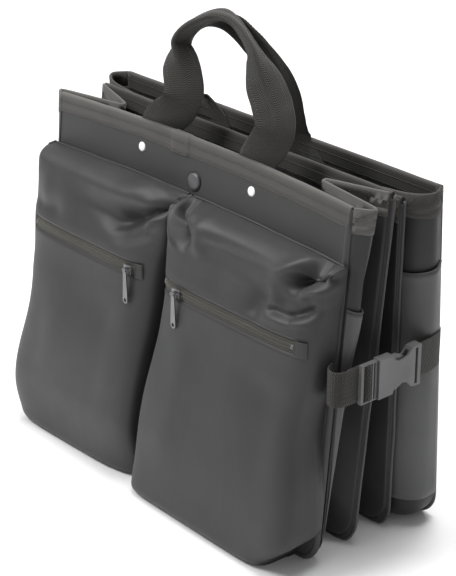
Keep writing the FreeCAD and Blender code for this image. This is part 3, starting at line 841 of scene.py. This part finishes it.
# where the slip pockets lie across the pleats, and the heights of their openings' two ends
SLIP_COLUMNS = {"front": (0.6, 11.0), "middle": (1.0, 10.0), "rear": (20.0, 42.4)}
SLIP_HEM = {"front": (0.249, 0.251), "middle": (0.262, 0.258), "rear": (0.262, 0.270)}
SLIP_FOOT = 0.031


def slip_pockets(name, grid, normals):
    """The flat pockets sewn on the outside of a gusset, one at each end of the bag, and their rolled hems."""
    first_col, last_col = SLIP_COLUMNS[name]
    cols = np.linspace(first_col, last_col, 26)
    half = ROW_COUNT // 3
    sides, hems = [], []
    for tag, rows, lift in (("right", grid, normals), ("left", grid[::-1], normals[::-1])):
        near_top = 5
        points_out = lift[near_top, int(first_col) + 3, 0] * rows[near_top, 2, 0] > 0
        out = lift if points_out else -lift
        patch = np.zeros((PLEAT_COUNT, len(cols), 3))
        for j, col in enumerate(cols):
            line = row_at(np.swapaxes(rows[:half], 0, 1), col)
            away = row_at(np.swapaxes(out[:half], 0, 1), col)
            share = j / (len(cols) - 1)
            hem = np.interp(share, (0, 1), SLIP_HEM[name]) - 0.003 * math.sin(math.pi * share)
            z = np.linspace(hem, SLIP_FOOT, PLEAT_COUNT)
            order = np.argsort(line[:, 2])
            gap = 0.0016 + 0.0022 * math.sin(math.pi * share) * smooth(0.2, hem, z)
            height = line[order, 2]
            patch[:, j] = sample(line[order], height, z) + sample(away[order], height, z) * gap[:, None]
        edge = patch[0] + (patch[0] - patch[1]) * 0.1
        sides.append(thicken(cloth_grid(f"{name}_slip_{tag}", patch), THICK["slip"], offset=0.0))
        hems.append(rod(f"{name}_slip_hem_{tag}", resample(edge, 60), 0.0009))
    return join(name + "_slip_pockets", sides), join(name + "_slip_pocket_hems", hems)


def finish_gusset(obj, name, slot, material, rails, *nodes):
    """Blends a gusset's piece between its two walls, from the one's leaning plane to the other's."""
    a, b = GUSSETS[name]
    start, end = rails[0], rails[-1]
    low = ROW_COUNT // 3
    lean = ((start[0][1] - start[low][1]) + (end[0][1] - end[low][1])) / 2
    direction = np.array([0.0, 1.0, -lean / (start[0][2] - start[low][2])])
    lowest, highest = (start @ direction).max(), (end @ direction).min()
    if highest - lowest < 0.006:
        lowest, highest = (start @ direction).mean(), (end @ direction).mean()
    direction = direction / (direction @ direction)
    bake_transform(obj, a, b, start=tuple(direction * lowest), end=tuple(direction * highest))
    dress(obj, slot, material, *nodes)


def gusset_hem(name, grid, normals):
    """The tape over a gusset's two top edges."""
    pieces = []
    for right in (True, False):
        rows, lift = (grid, normals) if right else (grid[::-1], normals[::-1])
        along = np.linalg.norm(np.diff(rows, axis=0), axis=2).mean(axis=1)
        depth = np.concatenate([[0], np.cumsum(along)])
        k = np.minimum(np.searchsorted(depth, np.linspace(0, HEM, 8)), len(rows) - 1)
        cap = rows[:1] + np.array([0.0, 0.0, 0.0012])
        section = np.vstack([(rows[k] + lift[k] * 0.0011)[::-1], cap, rows[k] - lift[k] * 0.0011])
        tape = cloth_grid(f"{name}_hem_{right}", np.swapaxes(section, 0, 1))
        pieces.append(thicken(fix_normals(tape), THICK["binding"], offset=0.0))
    return join(name + "_gusset_hem", pieces)


# ---- front pockets ----
ZIP_Z = (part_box("right_pocket_zip_teeth")[0].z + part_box("right_pocket_zip_teeth")[1].z) / 2
ZIP_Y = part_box("right_pocket_zip_tapes")[0].y - 0.0005
POCKET_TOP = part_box("right_pocket_yoke")[1].z
POCKET_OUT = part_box("right_pocket_pouch")[1].x
INNER_LOW_X = {"left": -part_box("left_pocket_pouch")[1].x, "right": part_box("right_pocket_pouch")[0].x}
ZIP_SPAN = {"left": (0.024, POCKET_OUT - 0.014), "right": (0.006, POCKET_OUT - 0.017)}
SIDES = {"right": 1.0, "left": -1.0}
# how the filled pockets differ: the slack at the foot and beside the inner seam, and the outer side's flare
# and corner at the floor
FOOT_SLACK = {"left": 0.13, "right": 0.0}
INNER_SLACK = {"left": 0.32, "right": -0.02}
OUTER_FLARE = {"left": 0.003, "right": 0.004}
OUTER_CORNER = {"left": 0.012, "right": 0.034}


def pocket_profile(count):
    """The pocket's side view at its middle, as depth in front of the wall and height."""
    d0 = front.y(ZIP_Z) - ZIP_Y
    points = [(0.0, 0.0008), (0.030, 0.0003), (0.0435, 0.0014), (0.0495, 0.0065), (0.0508, 0.018),
              (0.0502, 0.05), (0.0482, 0.09), (0.0450, 0.13), (0.0408, 0.165), (d0 + 0.0006, 0.19),
              (d0, ZIP_Z - 0.012), (d0, ZIP_Z), (d0, ZIP_Z + 0.012), (d0 - 0.001, 0.236), (0.0345, 0.248),
              (0.031, 0.262), (0.029, 0.273), (0.0265, 0.2825), (0.0185, 0.2882), (0.008, 0.2892),
              (0.0, POCKET_TOP + 0.001)]
    return resample(spline(points, 500), count)


def fold(x, z, start, end, width, depth, taper=0.3):
    """Height of one crease along a line: a valley when depth is negative, a ridge when it is positive."""
    a, b = np.array(start), np.array(end)
    d = b - a
    run = np.linalg.norm(d)
    t = ((x - a[0]) * d[0] + (z - a[1]) * d[1]) / run ** 2
    off = ((x - a[0]) * -d[1] + (z - a[1]) * d[0]) / run
    fade = smooth(-0.08, taper, t) * (1 - smooth(0.7, 1.08, t))
    return depth * fade * np.exp(-(off / width) ** 2)


POCKET_FOLDS = {
    # start and end on the pocket as (x, z), then width and depth, and the share of it over which it grows
    "left": [
        ((0.002, 0.290), (-0.034, 0.267), 0.0048, -0.013, 0.08),
        ((-0.024, 0.270), (-0.080, 0.250), 0.0080, -0.013, 0.2),
        ((-0.030, 0.262), (-0.090, 0.260), 0.012, -0.005),
        ((-0.004, 0.298), (-0.100, 0.272), 0.009, 0.006),
        ((-0.006, 0.277), (-0.052, 0.250), 0.006, 0.005),
        ((-0.008, 0.262), (-0.070, 0.236), 0.007, -0.005),
        ((-0.200, 0.262), (-0.130, 0.262), 0.016, 0.003),
        ((-0.205, 0.236), (-0.150, 0.240), 0.010, -0.003),
        ((-0.060, 0.200), (-0.085, 0.060), 0.018, -0.0016),
        ((-0.130, 0.190), (-0.150, 0.040), 0.022, 0.0016),
    ],
    "right": [
        ((0.008, 0.293), (0.037, 0.260), 0.0070, -0.014, 0.08),
        ((0.001, 0.288), (0.018, 0.254), 0.005, 0.004, 0.1),
        ((0.048, 0.290), (0.054, 0.256), 0.008, 0.004),
        ((0.050, 0.280), (0.118, 0.276), 0.006, -0.003),
        ((0.200, 0.293), (0.172, 0.265), 0.0065, -0.013, 0.12),
        ((0.213, 0.284), (0.178, 0.270), 0.0050, -0.010, 0.1),
        ((0.146, 0.268), (0.190, 0.291), 0.006, 0.006),
        ((0.214, 0.277), (0.186, 0.262), 0.005, 0.005),
        ((0.155, 0.243), (0.185, 0.242), 0.0042, -0.0060, 0.15),
        ((0.179, 0.241), (0.211, 0.257), 0.0042, -0.0060, 0.15),
        ((0.160, 0.252), (0.205, 0.257), 0.008, -0.004),
        ((0.155, 0.235), (0.208, 0.242), 0.005, 0.003),
        ((0.147, 0.262), (0.134, 0.221), 0.010, -0.007),
        ((0.124, 0.268), (0.116, 0.230), 0.009, 0.003),
        ((0.100, 0.195), (0.085, 0.060), 0.020, -0.0016),
        ((0.050, 0.195), (0.040, 0.040), 0.018, 0.0016),
        ((0.170, 0.190), (0.160, 0.060), 0.018, -0.0016),
    ],
}


def pocket_grid(side, across=120, up=170):
    """The pocket as one surface from its outer seam over its face to its inner seam."""
    grid = np.zeros((up, across, 3))
    angle = np.linspace(0, math.pi, across)
    c, s = np.cos(angle), np.sin(angle)
    for i, (depth, z) in enumerate(pocket_profile(up)):
        inner = INNER_LOW_X[side] + (0.007 - INNER_LOW_X[side]) * np.clip(z / POCKET_TOP, 0, 1)
        inner -= 0.006 * smooth(0.2, 0.27, z)
        flare = OUTER_FLARE[side] * (1 - smooth(0.0, 0.14, z))
        waist = 0.009 * np.exp(-((z - 0.14) / 0.045) ** 2)
        corner = OUTER_CORNER[side] * (1 - smooth(0.0, 0.05, z)) ** 1.5
        outer = POCKET_OUT + flare + 0.002 * smooth(0.25, POCKET_TOP, z) - (waist + corner)
        middle, half = (inner + outer) / 2, (outer - inner) / 2
        squareness = 9.0 - 4.2 * smooth(0.05, 0.2, z) + 4.0 * smooth(0.235, POCKET_TOP, z)
        x = middle + half * np.sign(c) * np.abs(c) ** (2 / squareness)
        slack = FOOT_SLACK[side] + INNER_SLACK[side] * np.exp(-(x - inner) / 0.035)
        bulge = depth * (1 - slack * (1 - smooth(0.0, 0.07, z))) * np.abs(s) ** (2 / squareness)
        grid[i] = np.stack([SIDES[side] * x, front.y(z) - bulge, np.full_like(x, z)], axis=1)
    return grid


def shaped_pocket(side):
    """The pocket with its creases, its uneven cloth and the channel of its zip."""
    grid = pocket_grid(side)
    normals = grid_normals(grid)
    if normals[len(normals) // 2, normals.shape[1] // 2, 1] > 0:
        normals = -normals
    x, z = grid[..., 0], grid[..., 2]
    height = np.zeros_like(x)
    for start, end, *measures in POCKET_FOLDS[side]:
        height += fold(x, z, start, end, *measures)
    upper = smooth(ZIP_Z, 0.25, z)
    height += wobble(grid, 1.0, 0.07, 1.0 if side == "left" else 4.0) * (0.0016 + 0.0014 * upper)
    height += wobble(grid * np.array([1.0, 1.0, 0.5]), 1.0, 0.026, 9.0) * (0.0004 + 0.0010 * upper)
    depth = np.maximum(front.y(z) - grid[..., 1], 0)
    inside = smooth(ZIP_SPAN[side][0] - 0.012, ZIP_SPAN[side][0], np.abs(x)) * (x * SIDES[side] > 0)
    calm = 1 - np.exp(-((z - ZIP_Z + 0.013) / 0.027) ** 4) * inside
    lying = smooth(0.0, 0.012, z)
    height *= np.minimum(1, depth / 0.015) * calm * lying
    height = np.maximum(height, -0.75 * depth)
    height -= 0.0022 * channel(side, np.abs(x), z)
    points = grid + normals * height[..., None]
    bend(points, smooth(0.02, 0.0, front.y(z) - points[..., 1]))
    points[..., 2] = np.maximum(points[..., 2], 0.0004)
    return points


def channel(side, x, z):
    """1 where the zip lies, sunk between the two edges of the cloth."""
    start, end = ZIP_SPAN[side]
    wide = smooth(start - 0.001, start + 0.0015, x) * (1 - smooth(end - 0.0015, end + 0.001, x))
    return wide * (1 - smooth(0.0052, 0.0064, np.abs(z - ZIP_Z)))


def surface(obj):
    """The piece's skin, to lay trims on."""
    mesh = obj.data
    corners = [v.co.copy() for v in mesh.vertices]
    return BVHTree.FromPolygons(corners, [tuple(p.vertices) for p in mesh.polygons])


def lay(tree, x, z, out):
    """Points on the skin straight behind (x, z), moved out of it, with the directions out of the skin."""
    points, ups = [], []
    for a, b in zip(np.ravel(x), np.ravel(z)):
        hit, up, _, _ = tree.ray_cast(Vector((a, -0.3, b)), Vector((0, 1, 0)))
        if up.y > 0:
            up = -up
        points.append(np.array(hit) + np.array(up) * out)
        ups.append(np.array(up))
    shape = np.shape(x) + (3,)
    return np.array(points).reshape(shape), np.array(ups).reshape(shape)


def make_pockets():
    for side in ("left", "right"):
        points = shaped_pocket(side)
        cloth = cloth_grid(side + "_pocket_cloth", points)
        fix_direction(cloth)
        soft = cloth.modifiers.new("soft", "SUBSURF")
        soft.levels = 1
        soft.render_levels = 1
        thicken(cloth, THICK["pocket"])
        tree = surface(cloth)
        # the pocket cloth takes the darker pocket nylon: painted shade
        place(cloth, "front", "coated_nylon", "pocket", side + "_pocket_pouch", side + "_pocket_yoke")
        make_zip(side, tree)
        pocket_seams(side)


# half of a zip tape's section: distance from the zip's middle, and height over the skin
TAPE_SECTION = ((0.0008, 0.0008), (0.002, 0.0008), (0.0032, 0.0005), (0.0044, 0.0005), (0.0056, 0.0005))
COIL_PITCH, COIL_LENGTH, COIL_RADIUS = 0.0017, 0.0030, 0.00062
STOP_PITCH, STOP_LENGTH, STOP_RADIUS = 0.0012, 0.0046, 0.0008


def make_zip(side, tree):
    """A coil zip laid on the pocket's skin: tapes, teeth, end stops, end tab and stitches."""
    k = SIDES[side]
    start, end = ZIP_SPAN[side]
    x = k * np.linspace(start + 0.0002, end - 0.0002, 200)

    def along_zip(above, out):
        return lay(tree, x, np.full_like(x, ZIP_Z + above), out)

    tapes = []
    for up in (1, -1):
        grid = [along_zip(up * z, out)[0] for z, out in TAPE_SECTION]
        tape = fix_normals(cloth_grid(f"{side}_tape_{up}", np.array(grid)))
        tapes.append(thicken(tape, THICK["zip_tape"], offset=0.0))
    place(join(side + "_zip_tape_cloth", tapes), "front", "zip_tape", "zip_tape", side + "_pocket_zip_tapes")

    coils = []
    for up in (1, -1):
        row, out = along_zip(up * 0.00125, 0.0010)
        middle, normal, along = spaced(row[2:-2], out[2:-2], COIL_PITCH)
        slant = unit(np.cross(normal, along) + along * 0.22 * up)
        middle = middle + along * 0.0003 * up
        coils.append(threads(f"{side}_coil_{up}", middle, normal, slant, COIL_LENGTH, COIL_RADIUS))
    place(join(side + "_zip_coil_threads", coils), "front", "zip_coil", "coil", side + "_pocket_zip_teeth")
    row, out = along_zip(0, 0.0016)
    middle, normal, along = spaced(row[2:-2], out[2:-2], STOP_PITCH)
    slant = unit(np.cross(normal, along))
    ends = [threads(f"{side}_stop_{i}", middle[i:i + 2], normal[i:i + 2], slant[i:i + 2], STOP_LENGTH,
                    STOP_RADIUS) for i in (0, -3)]
    place(join(side + "_zip_end_stops", ends), "front", "zip_metal", "zip_metal", side + "_pocket_zip_stops")

    seams = [stitches(f"{side}_lip_{up}", *along_zip(up * 0.0092, 0.0001), "zip") for up in (1, -1)]
    tab_x = (start - 0.0035, 0.0295) if side == "left" else (end - 0.002, end + 0.010)
    u, v = np.meshgrid(k * np.linspace(*tab_x, 16), ZIP_Z + np.linspace(0.0075, -0.0075, 12))
    tab, _ = lay(tree, u, v, 0.0002)
    tab[..., 1] = np.minimum(tab[..., 1], np.minimum(tab[:1, :, 1], tab[-1:, :, 1])) - 0.0010
    piece = thicken(fix_normals(cloth_grid(side + "_zip_end_tab", tab)), 0.0008, offset=0.0, bevel=0.0003)
    # the end tab takes the darker pocket nylon: painted shade
    place(piece, "front", "coated_nylon", "pocket")
    for tag, column in (("in", 2), ("out", -3)):
        line = tab[1:-1, column] + np.array([0.0, -0.0006, 0.0])
        seams.append(stitches(f"{side}_tab_{tag}", line, (0, -1, 0), "tab"))
    place(join(side + "_zip_stitching", seams), "front", "coated_nylon", "thread")


def pocket_seams(side):
    """The piping where the pocket's top edge is sewn to the wall, with its row of stitches."""
    x = SIDES[side] * np.linspace(0.004, POCKET_OUT - 0.001, 120)
    z = np.full_like(x, POCKET_TOP + 0.0012)
    line = on_front(x, z, 0.0010)
    line[:, 2] += wobble(line, 0.0006, 0.03, 2.0)
    # the piping takes the darker pocket nylon: painted shade
    place(rod(side + "_pocket_piping", line, 0.0012), "front", "coated_nylon", "pocket")
    seam = stitches(side + "_pocket_seam_stitching", on_front(x, z + 0.0034, 0.0001), (0, -1, 0.1), "pocket")
    place(seam, "front", "coated_nylon", "thread")


# ---- snap and rivets ----
# turned profiles as (radius, height) in metres, from the rim inwards
CAP = ((0.0080, 0.0006), (0.0081, 0.0016), (0.0076, 0.0022), (0.0055, 0.0027), (0.0028, 0.0030),
       (0.0, 0.0031))
RIM = ((0.0093, -0.0004), (0.0095, 0.0006), (0.0091, 0.0015), (0.0084, 0.0018), (0.0079, 0.0014),
       (0.0076, 0.0004))
SOCKET = ((0.0062, 0.0), (0.0062, 0.0016), (0.0052, 0.0026), (0.0040, 0.0026), (0.0034, 0.0018),
          (0.0030, 0.0004))
RIVET = ((0.0046, -0.0002), (0.0047, 0.0005), (0.0043, 0.0011), (0.003, 0.0015), (0.0014, 0.0017),
         (0.0, 0.0017))
WASHER = ((0.0052, 0.0), (0.0052, 0.0006), (0.0047, 0.0009), (0.0024, 0.0009), (0.0022, 0.0018),
          (0.0012, 0.0022), (0.0, 0.0022))


def spot_on_front(x, z):
    """A place on the front wall's face, and the direction out of it."""
    out = unit(np.cross((1.0, 0.0, 0.0), unit(on_front(x, z + 0.004) - on_front(x, z - 0.004))))
    return on_front(x, z), out


def make_studs():
    middle, out = spot_on_front(0.0, sum(c.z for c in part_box("front_snap_cap")) / 2)
    cap, rim = lathe("snap_cap_face", CAP, middle, out), lathe("snap_cap_rim", RIM, middle, out)
    place(cap, "front", "snap_cap", "snap_cap", "front_snap_cap")
    # the rim takes the dark rim finish: painted shade
    place(rim, "front", "snap_cap", "snap_rim")
    socket = lathe("snap_socket_ring", SOCKET, middle - out * (front.thick + 0.0006), -out)
    place(socket, "front", "snap_metal", "snap_metal", "snap_socket")
    rivet_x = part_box("front_rivets")[1].x - 0.005
    rivet_z = sum(c.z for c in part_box("front_rivets")) / 2
    heads, washers = [], []
    for x in (-rivet_x, rivet_x):
        middle, out = spot_on_front(x, rivet_z)
        heads.append(lathe(f"rivet_{x}", RIVET, middle, out))
        washers.append(lathe(f"washer_{x}", WASHER, middle - out * (front.thick + 0.0026), -out))
    # the rivets take the near-white rivet finish: painted reflection
    place(join("front_rivet_heads", heads), "front", "rivet", "rivet", "front_rivets")
    place(join("front_rivet_backs", washers), "front", "rivet", "rivet", "front_rivet_washers")


# ---- handles ----
SEWN = slice(36, 118)                # the loop's sewn stretch, as places along the webbing
GRIP_IN = 0.0095                     # from the loop's inner side to the middle of the grip
# places across half of the webbing, from its middle line to its edge
ACROSS_HALF = np.array([0, 0.0008, 0.0018, 0.003, 0.0046, 0.0066, 0.009, 0.0115, 0.014, 0.0165, 0.019])
HANDLES = {
    # x, rise over the wall's rim, fold from flat (0) to shut (1), and twist in degrees
    "front": [(-0.070, -0.042, 0, 0), (-0.070, -0.014, 0, 0), (-0.067, -0.003, 0, 5), (-0.057, 0.007, 0, 16),
              (-0.043, 0.017, 0, 28), (-0.0355, 0.028, 0, 36), (-0.035, 0.039, 0.02, 38),
              (-0.040, 0.050, 0.08, 38), (-0.0465, 0.060, 0.2, 34), (-0.0515, 0.070, 0.5, 24),
              (-0.0535, 0.080, 0.84, 8), (-0.0475, 0.0900, 0.92, 0), (-0.0365, 0.0996, 0.92, 0),
              (-0.0210, 0.1082, 0.92, 0), (-0.003, 0.1138, 0.9, -12), (0.0140, 0.1128, 0.94, -34),
              (0.0280, 0.1075, 0.94, -46), (0.0405, 0.1000, 0.92, -50), (0.0500, 0.0925, 0.84, -50),
              (0.0565, 0.0845, 0.68, -48), (0.0650, 0.0745, 0.44, -45), (0.0730, 0.0650, 0.24, -42),
              (0.0810, 0.0565, 0.1, -40), (0.0870, 0.0485, 0.02, -38), (0.0920, 0.0400, 0, -34),
              (0.0930, 0.0300, 0, -28), (0.0880, 0.0180, 0, -18), (0.0800, 0.0070, 0, -8),
              (0.0735, -0.003, 0, 0), (0.070, -0.014, 0, 0), (0.070, -0.042, 0, 0)],
    "rear": [(-0.070, -0.042, 0, 0), (-0.076, -0.024, 0, -4), (-0.088, -0.010, 0, -16),
             (-0.098, 0.002, 0, -30), (-0.103, 0.013, 0.05, -38), (-0.104, 0.026, 0.15, -40),
             (-0.104, 0.040, 0.35, -34), (-0.103, 0.053, 0.6, -20), (-0.096, 0.065, 0.8, -5),
             (-0.078, 0.0790, 0.9, 0), (-0.056, 0.0910, 0.92, 0), (-0.034, 0.1005, 0.9, 0),
             (-0.012, 0.1045, 0.8, 0), (0.006, 0.1005, 0.6, 0), (0.0185, 0.0905, 0.5, 0),
             (0.0285, 0.0800, 0.42, 0), (0.0375, 0.0685, 0.3, 0), (0.0435, 0.0540, 0.15, 0),
             (0.0440, 0.0380, 0.05, 0), (0.0420, 0.0244, 0, 0), (0.0400, 0.0120, 0, 0),
             (0.0395, 0.0000, 0, 0), (0.0430, -0.0120, 0, 0), (0.0520, -0.0230, 0, 0),
             (0.0630, -0.0330, 0, 0), (0.070, -0.044, 0, 0)],
}


def handle_cloth(name):
    """The webbing of one handle as a grid: along its length, and across its width."""
    wall, forwards = (front, 1.0) if name == "front" else (rear, -1.0)
    feet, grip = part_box(name + "_handle_feet"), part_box(name + "_handle_loop")
    if name == "front":
        foot_y = float(on_front(0.07, 0.335)[1]) + front.thick + 0.0012
        grip_y = grip[1].y - GRIP_IN
    else:
        foot_y = (feet[0].y + feet[1].y) / 2
        grip_y = grip[0].y + GRIP_IN
    path = spline(np.array(HANDLES[name]), 150)
    rise = path[:, 1]
    lean = np.where(rise > 0, foot_y + (grip_y - foot_y) * np.clip(rise, 0, None) / rise.max(), foot_y)
    lean += (wall.y(wall.top + np.minimum(rise, 0)) - wall.y(wall.top)) * (rise < 0)
    centre = np.stack([path[:, 0], lean, wall.top + rise + 0.003], axis=1)
    along = unit(np.gradient(centre, axis=0))
    towards = np.tile((0.0, forwards, 0.0), (len(centre), 1))
    towards = unit(towards - along * np.sum(along * towards, axis=1, keepdims=True))
    twist = np.radians(path[:, 3])[:, None]
    towards = towards * np.cos(twist) + np.cross(along, towards) * np.sin(twist)
    across = unit(np.cross(along, towards))
    step = np.diff(ACROSS_HALF)
    middle = (ACROSS_HALF[1:] + ACROSS_HALF[:-1]) / 2
    curl = np.clip(path[:, 2], 0, 1) * math.radians(86)
    turned = curl[:, None] * smooth(-0.0008, 0.0034, middle)[None, :]
    start = np.zeros((len(centre), 1))
    out = np.concatenate([start, np.cumsum(np.cos(turned) * step, axis=1)], axis=1)
    deep = np.concatenate([start, np.cumsum(np.sin(turned) * step, axis=1)], axis=1)
    deep = deep - deep[:, -1:] / 2
    sunk = centre[:, None] + towards[:, None] * deep[..., None]
    left, right = [sunk + across[:, None] * (side * out)[..., None] for side in (-1, 1)]
    grid = np.concatenate([left[:, ::-1], right[:, 1:]], axis=1)
    grid[..., 1] += wobble(grid, 0.0009, 0.02, 3.0) * smooth(0.0, 0.02, rise)[:, None]
    return grid


def make_handles():
    for name in ("front", "rear"):
        grid = handle_cloth(name)
        cloth = cloth_grid(name + "_handle_webbing", np.swapaxes(grid, 0, 1))
        thicken(fix_normals(cloth), THICK["webbing"], offset=0.0, bevel=0.0005)
        normals = grid_normals(grid)
        rows = []
        for col in (2, grid.shape[1] - 3):
            for side in (1, -1):
                out = normals[SEWN, col] * side
                line = grid[SEWN, col] + out * 0.00085
                rows.append(stitches(f"{name}_row_{col}_{side}", line, out, "handle"))
        seam = join(name + "_handle_stitching", rows)
        body = name + "_handle"
        for obj in (cloth, seam):
            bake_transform(obj, name, body, start=(0, 0, front.top - 0.002), end=(0, 0, front.top + 0.012))
        dress(cloth, "webbing", "web", name + "_handle_feet", name + "_handle_loop")
        dress(seam, "webbing", "thread")


# ---- side straps and buckles ----
def softened(node, slot, width):
    """The frame's own piece with its sharp edges rounded, and the slot's own material."""
    source = frame["nodes"][node]
    obj = bpy.data.objects.new(node + "_finished", source.data.copy())
    bpy.context.scene.collection.objects.link(obj)
    bm = bmesh.new()
    bm.from_mesh(obj.data)
    bmesh.ops.remove_doubles(bm, verts=bm.verts, dist=1e-6)
    bmesh.ops.dissolve_limit(bm, angle_limit=math.radians(2), verts=bm.verts, edges=bm.edges)
    bm.to_mesh(obj.data)
    bm.free()
    add_bevel(obj, width, segments=3)
    apply_modifiers(obj)
    flat = obj.modifiers.new("normals", "WEIGHTED_NORMAL")
    flat.keep_sharp = True
    apply_modifiers(obj)
    place(obj, body_of(source)[0], slot, slot, node)


STRAP_Z = sum(c.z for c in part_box("right_strap_front")) / 2
STRAP_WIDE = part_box("right_strap_front")[1].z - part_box("right_strap_front")[0].z
# routes of the side straps as (x, y), from the wall to the buckle and through its bars or back along the wall
STRAP_FRONT = [(0.2110, -0.0375), (0.2150, -0.0460), (0.2215, -0.0508), (0.2285, -0.0502), (0.2322, -0.0440),
               (0.2324, -0.0290), (0.2326, -0.0246), (0.2345, -0.0224), (0.2380, -0.0208), (0.2390, -0.0183),
               (0.2380, -0.0161), (0.2345, -0.0148), (0.2322, -0.0153), (0.2306, -0.0180), (0.2304, -0.0370)]
STRAP_TUCKED = [(0.2110, -0.0370), (0.2130, -0.0395), (0.2165, -0.0400), (0.2210, -0.0375), (0.2270, -0.0330)]
STRAP_REAR = [(0.2345, 0.0405), (0.2340, 0.0520), (0.2325, 0.0620), (0.2305, 0.0720), (0.2270, 0.0810),
              (0.2220, 0.0870), (0.2160, 0.0893), (0.1820, 0.0893)]


SOFT_EDGES = {  # the pieces of one side, with their slot and the width of their rounded edges
    "buckle_male": ("buckle_plastic", 0.0006), "buckle_female": ("buckle_plastic", 0.0010),
    "buckle_upper_prong": ("buckle_plastic", 0.0005), "buckle_lower_prong": ("buckle_plastic", 0.0005),
    "pocket_zip_slider": ("zip_metal", 0.0002), "pocket_zip_pull": ("zip_metal", 0.00025),
}


def make_straps():
    for side, k in SIDES.items():
        for end, route in (("front", STRAP_FRONT), ("rear", STRAP_REAR)):
            if side == "left" and end == "front":
                route = STRAP_TUCKED + route[5:]
            path = resample(rounded([(k * x, y, STRAP_Z) for x, y in route], 0.004, 6), 150)
            path[:, 2] += wobble(path, 0.0008, 0.03, 6.0 + k)
            band = strip(f"{side}_{end}_strap_webbing", path, (0, 0, 1), STRAP_WIDE, THICK["webbing"])
            place(band, end, "webbing", "web", f"{side}_strap_{end}")
        for piece, (slot, width) in SOFT_EDGES.items():
            softened(f"{side}_{piece}", slot, width)


# ---- floor, light and camera ----
FLOOR_HALF = 6.0
LIGHTS = (  # name, place, what it points at, size and watts
    ("key", (-0.60, -0.95, 1.60), (0, 0, 0.25), 0.8, 28),
    ("fill", (2.2, -2.0, 0.8), (0, 0, 0.2), 1.6, 5),
    ("top", (0.1, 0.2, 2.4), (0, 0, 0.2), 1.2, 50),
    ("back", (-1.8, 3.2, 3.0), (-1.8, 3.0, 0.0), 3.0, 150),
)


def make_stage():
    corners = [(x * FLOOR_HALF, y * FLOOR_HALF, 0) for x, y in ((-1, -1), (1, -1), (1, 1), (-1, 1))]
    floor = mesh_object("floor", corners, [(0, 1, 2, 3)])
    n = Nodes("pale_floor")
    n.set(colour=n.tint(n.noise(2.0), (0.74, 0.74, 0.74), (0.78, 0.78, 0.78)), roughness=0.9)
    floor.data.materials.append(n.material)

    world = bpy.data.worlds.new("studio")
    bpy.context.scene.world = world
    world.use_nodes = True
    world.node_tree.nodes["Background"].inputs["Color"].default_value = (1.0, 1.0, 1.0, 1)
    world.node_tree.nodes["Background"].inputs["Strength"].default_value = 0.38
    bpy.context.scene.view_settings.view_transform = "Standard"

    for name, place_at, target, size, power in LIGHTS:
        light = bpy.data.lights.new(name, "AREA")
        light.shape = "DISK"
        light.size = size
        light.energy = power
        obj = bpy.data.objects.new(name, light)
        obj.location = place_at
        obj.rotation_euler = (Vector(target) - Vector(place_at)).to_track_quat("-Z", "Y").to_euler()
        bpy.context.scene.collection.objects.link(obj)


def make_camera():
    azimuth, elevation, distance = math.radians(49.6), math.radians(24.0), 1.691
    target = Vector((-0.0034, 0.027, 0.1817))
    back = Vector((math.sin(azimuth) * math.cos(elevation), -math.cos(azimuth) * math.cos(elevation),
                   math.sin(elevation)))
    data = bpy.data.cameras.new("camera")
    data.lens = 108.0
    data.sensor_width = 36
    camera = bpy.data.objects.new("camera", data)
    camera.location = target + back * distance
    camera.rotation_euler = back.to_track_quat("Z", "Y").to_euler()
    bpy.context.scene.collection.objects.link(camera)
    bpy.context.scene.camera = camera


make_stage()
make_camera()
make_walls()
make_gussets()
make_pockets()
make_studs()
make_handles()
make_straps()
# the rear rivets take the near-white rivet finish: painted reflection
for node, finish in (("rear_snap_cap", "snap_cap"), ("snap_stud", "snap_metal"), ("rear_rivets", "rivet"),
                     ("rear_rivet_washers", "zip_metal")):
    paint(node, finish)
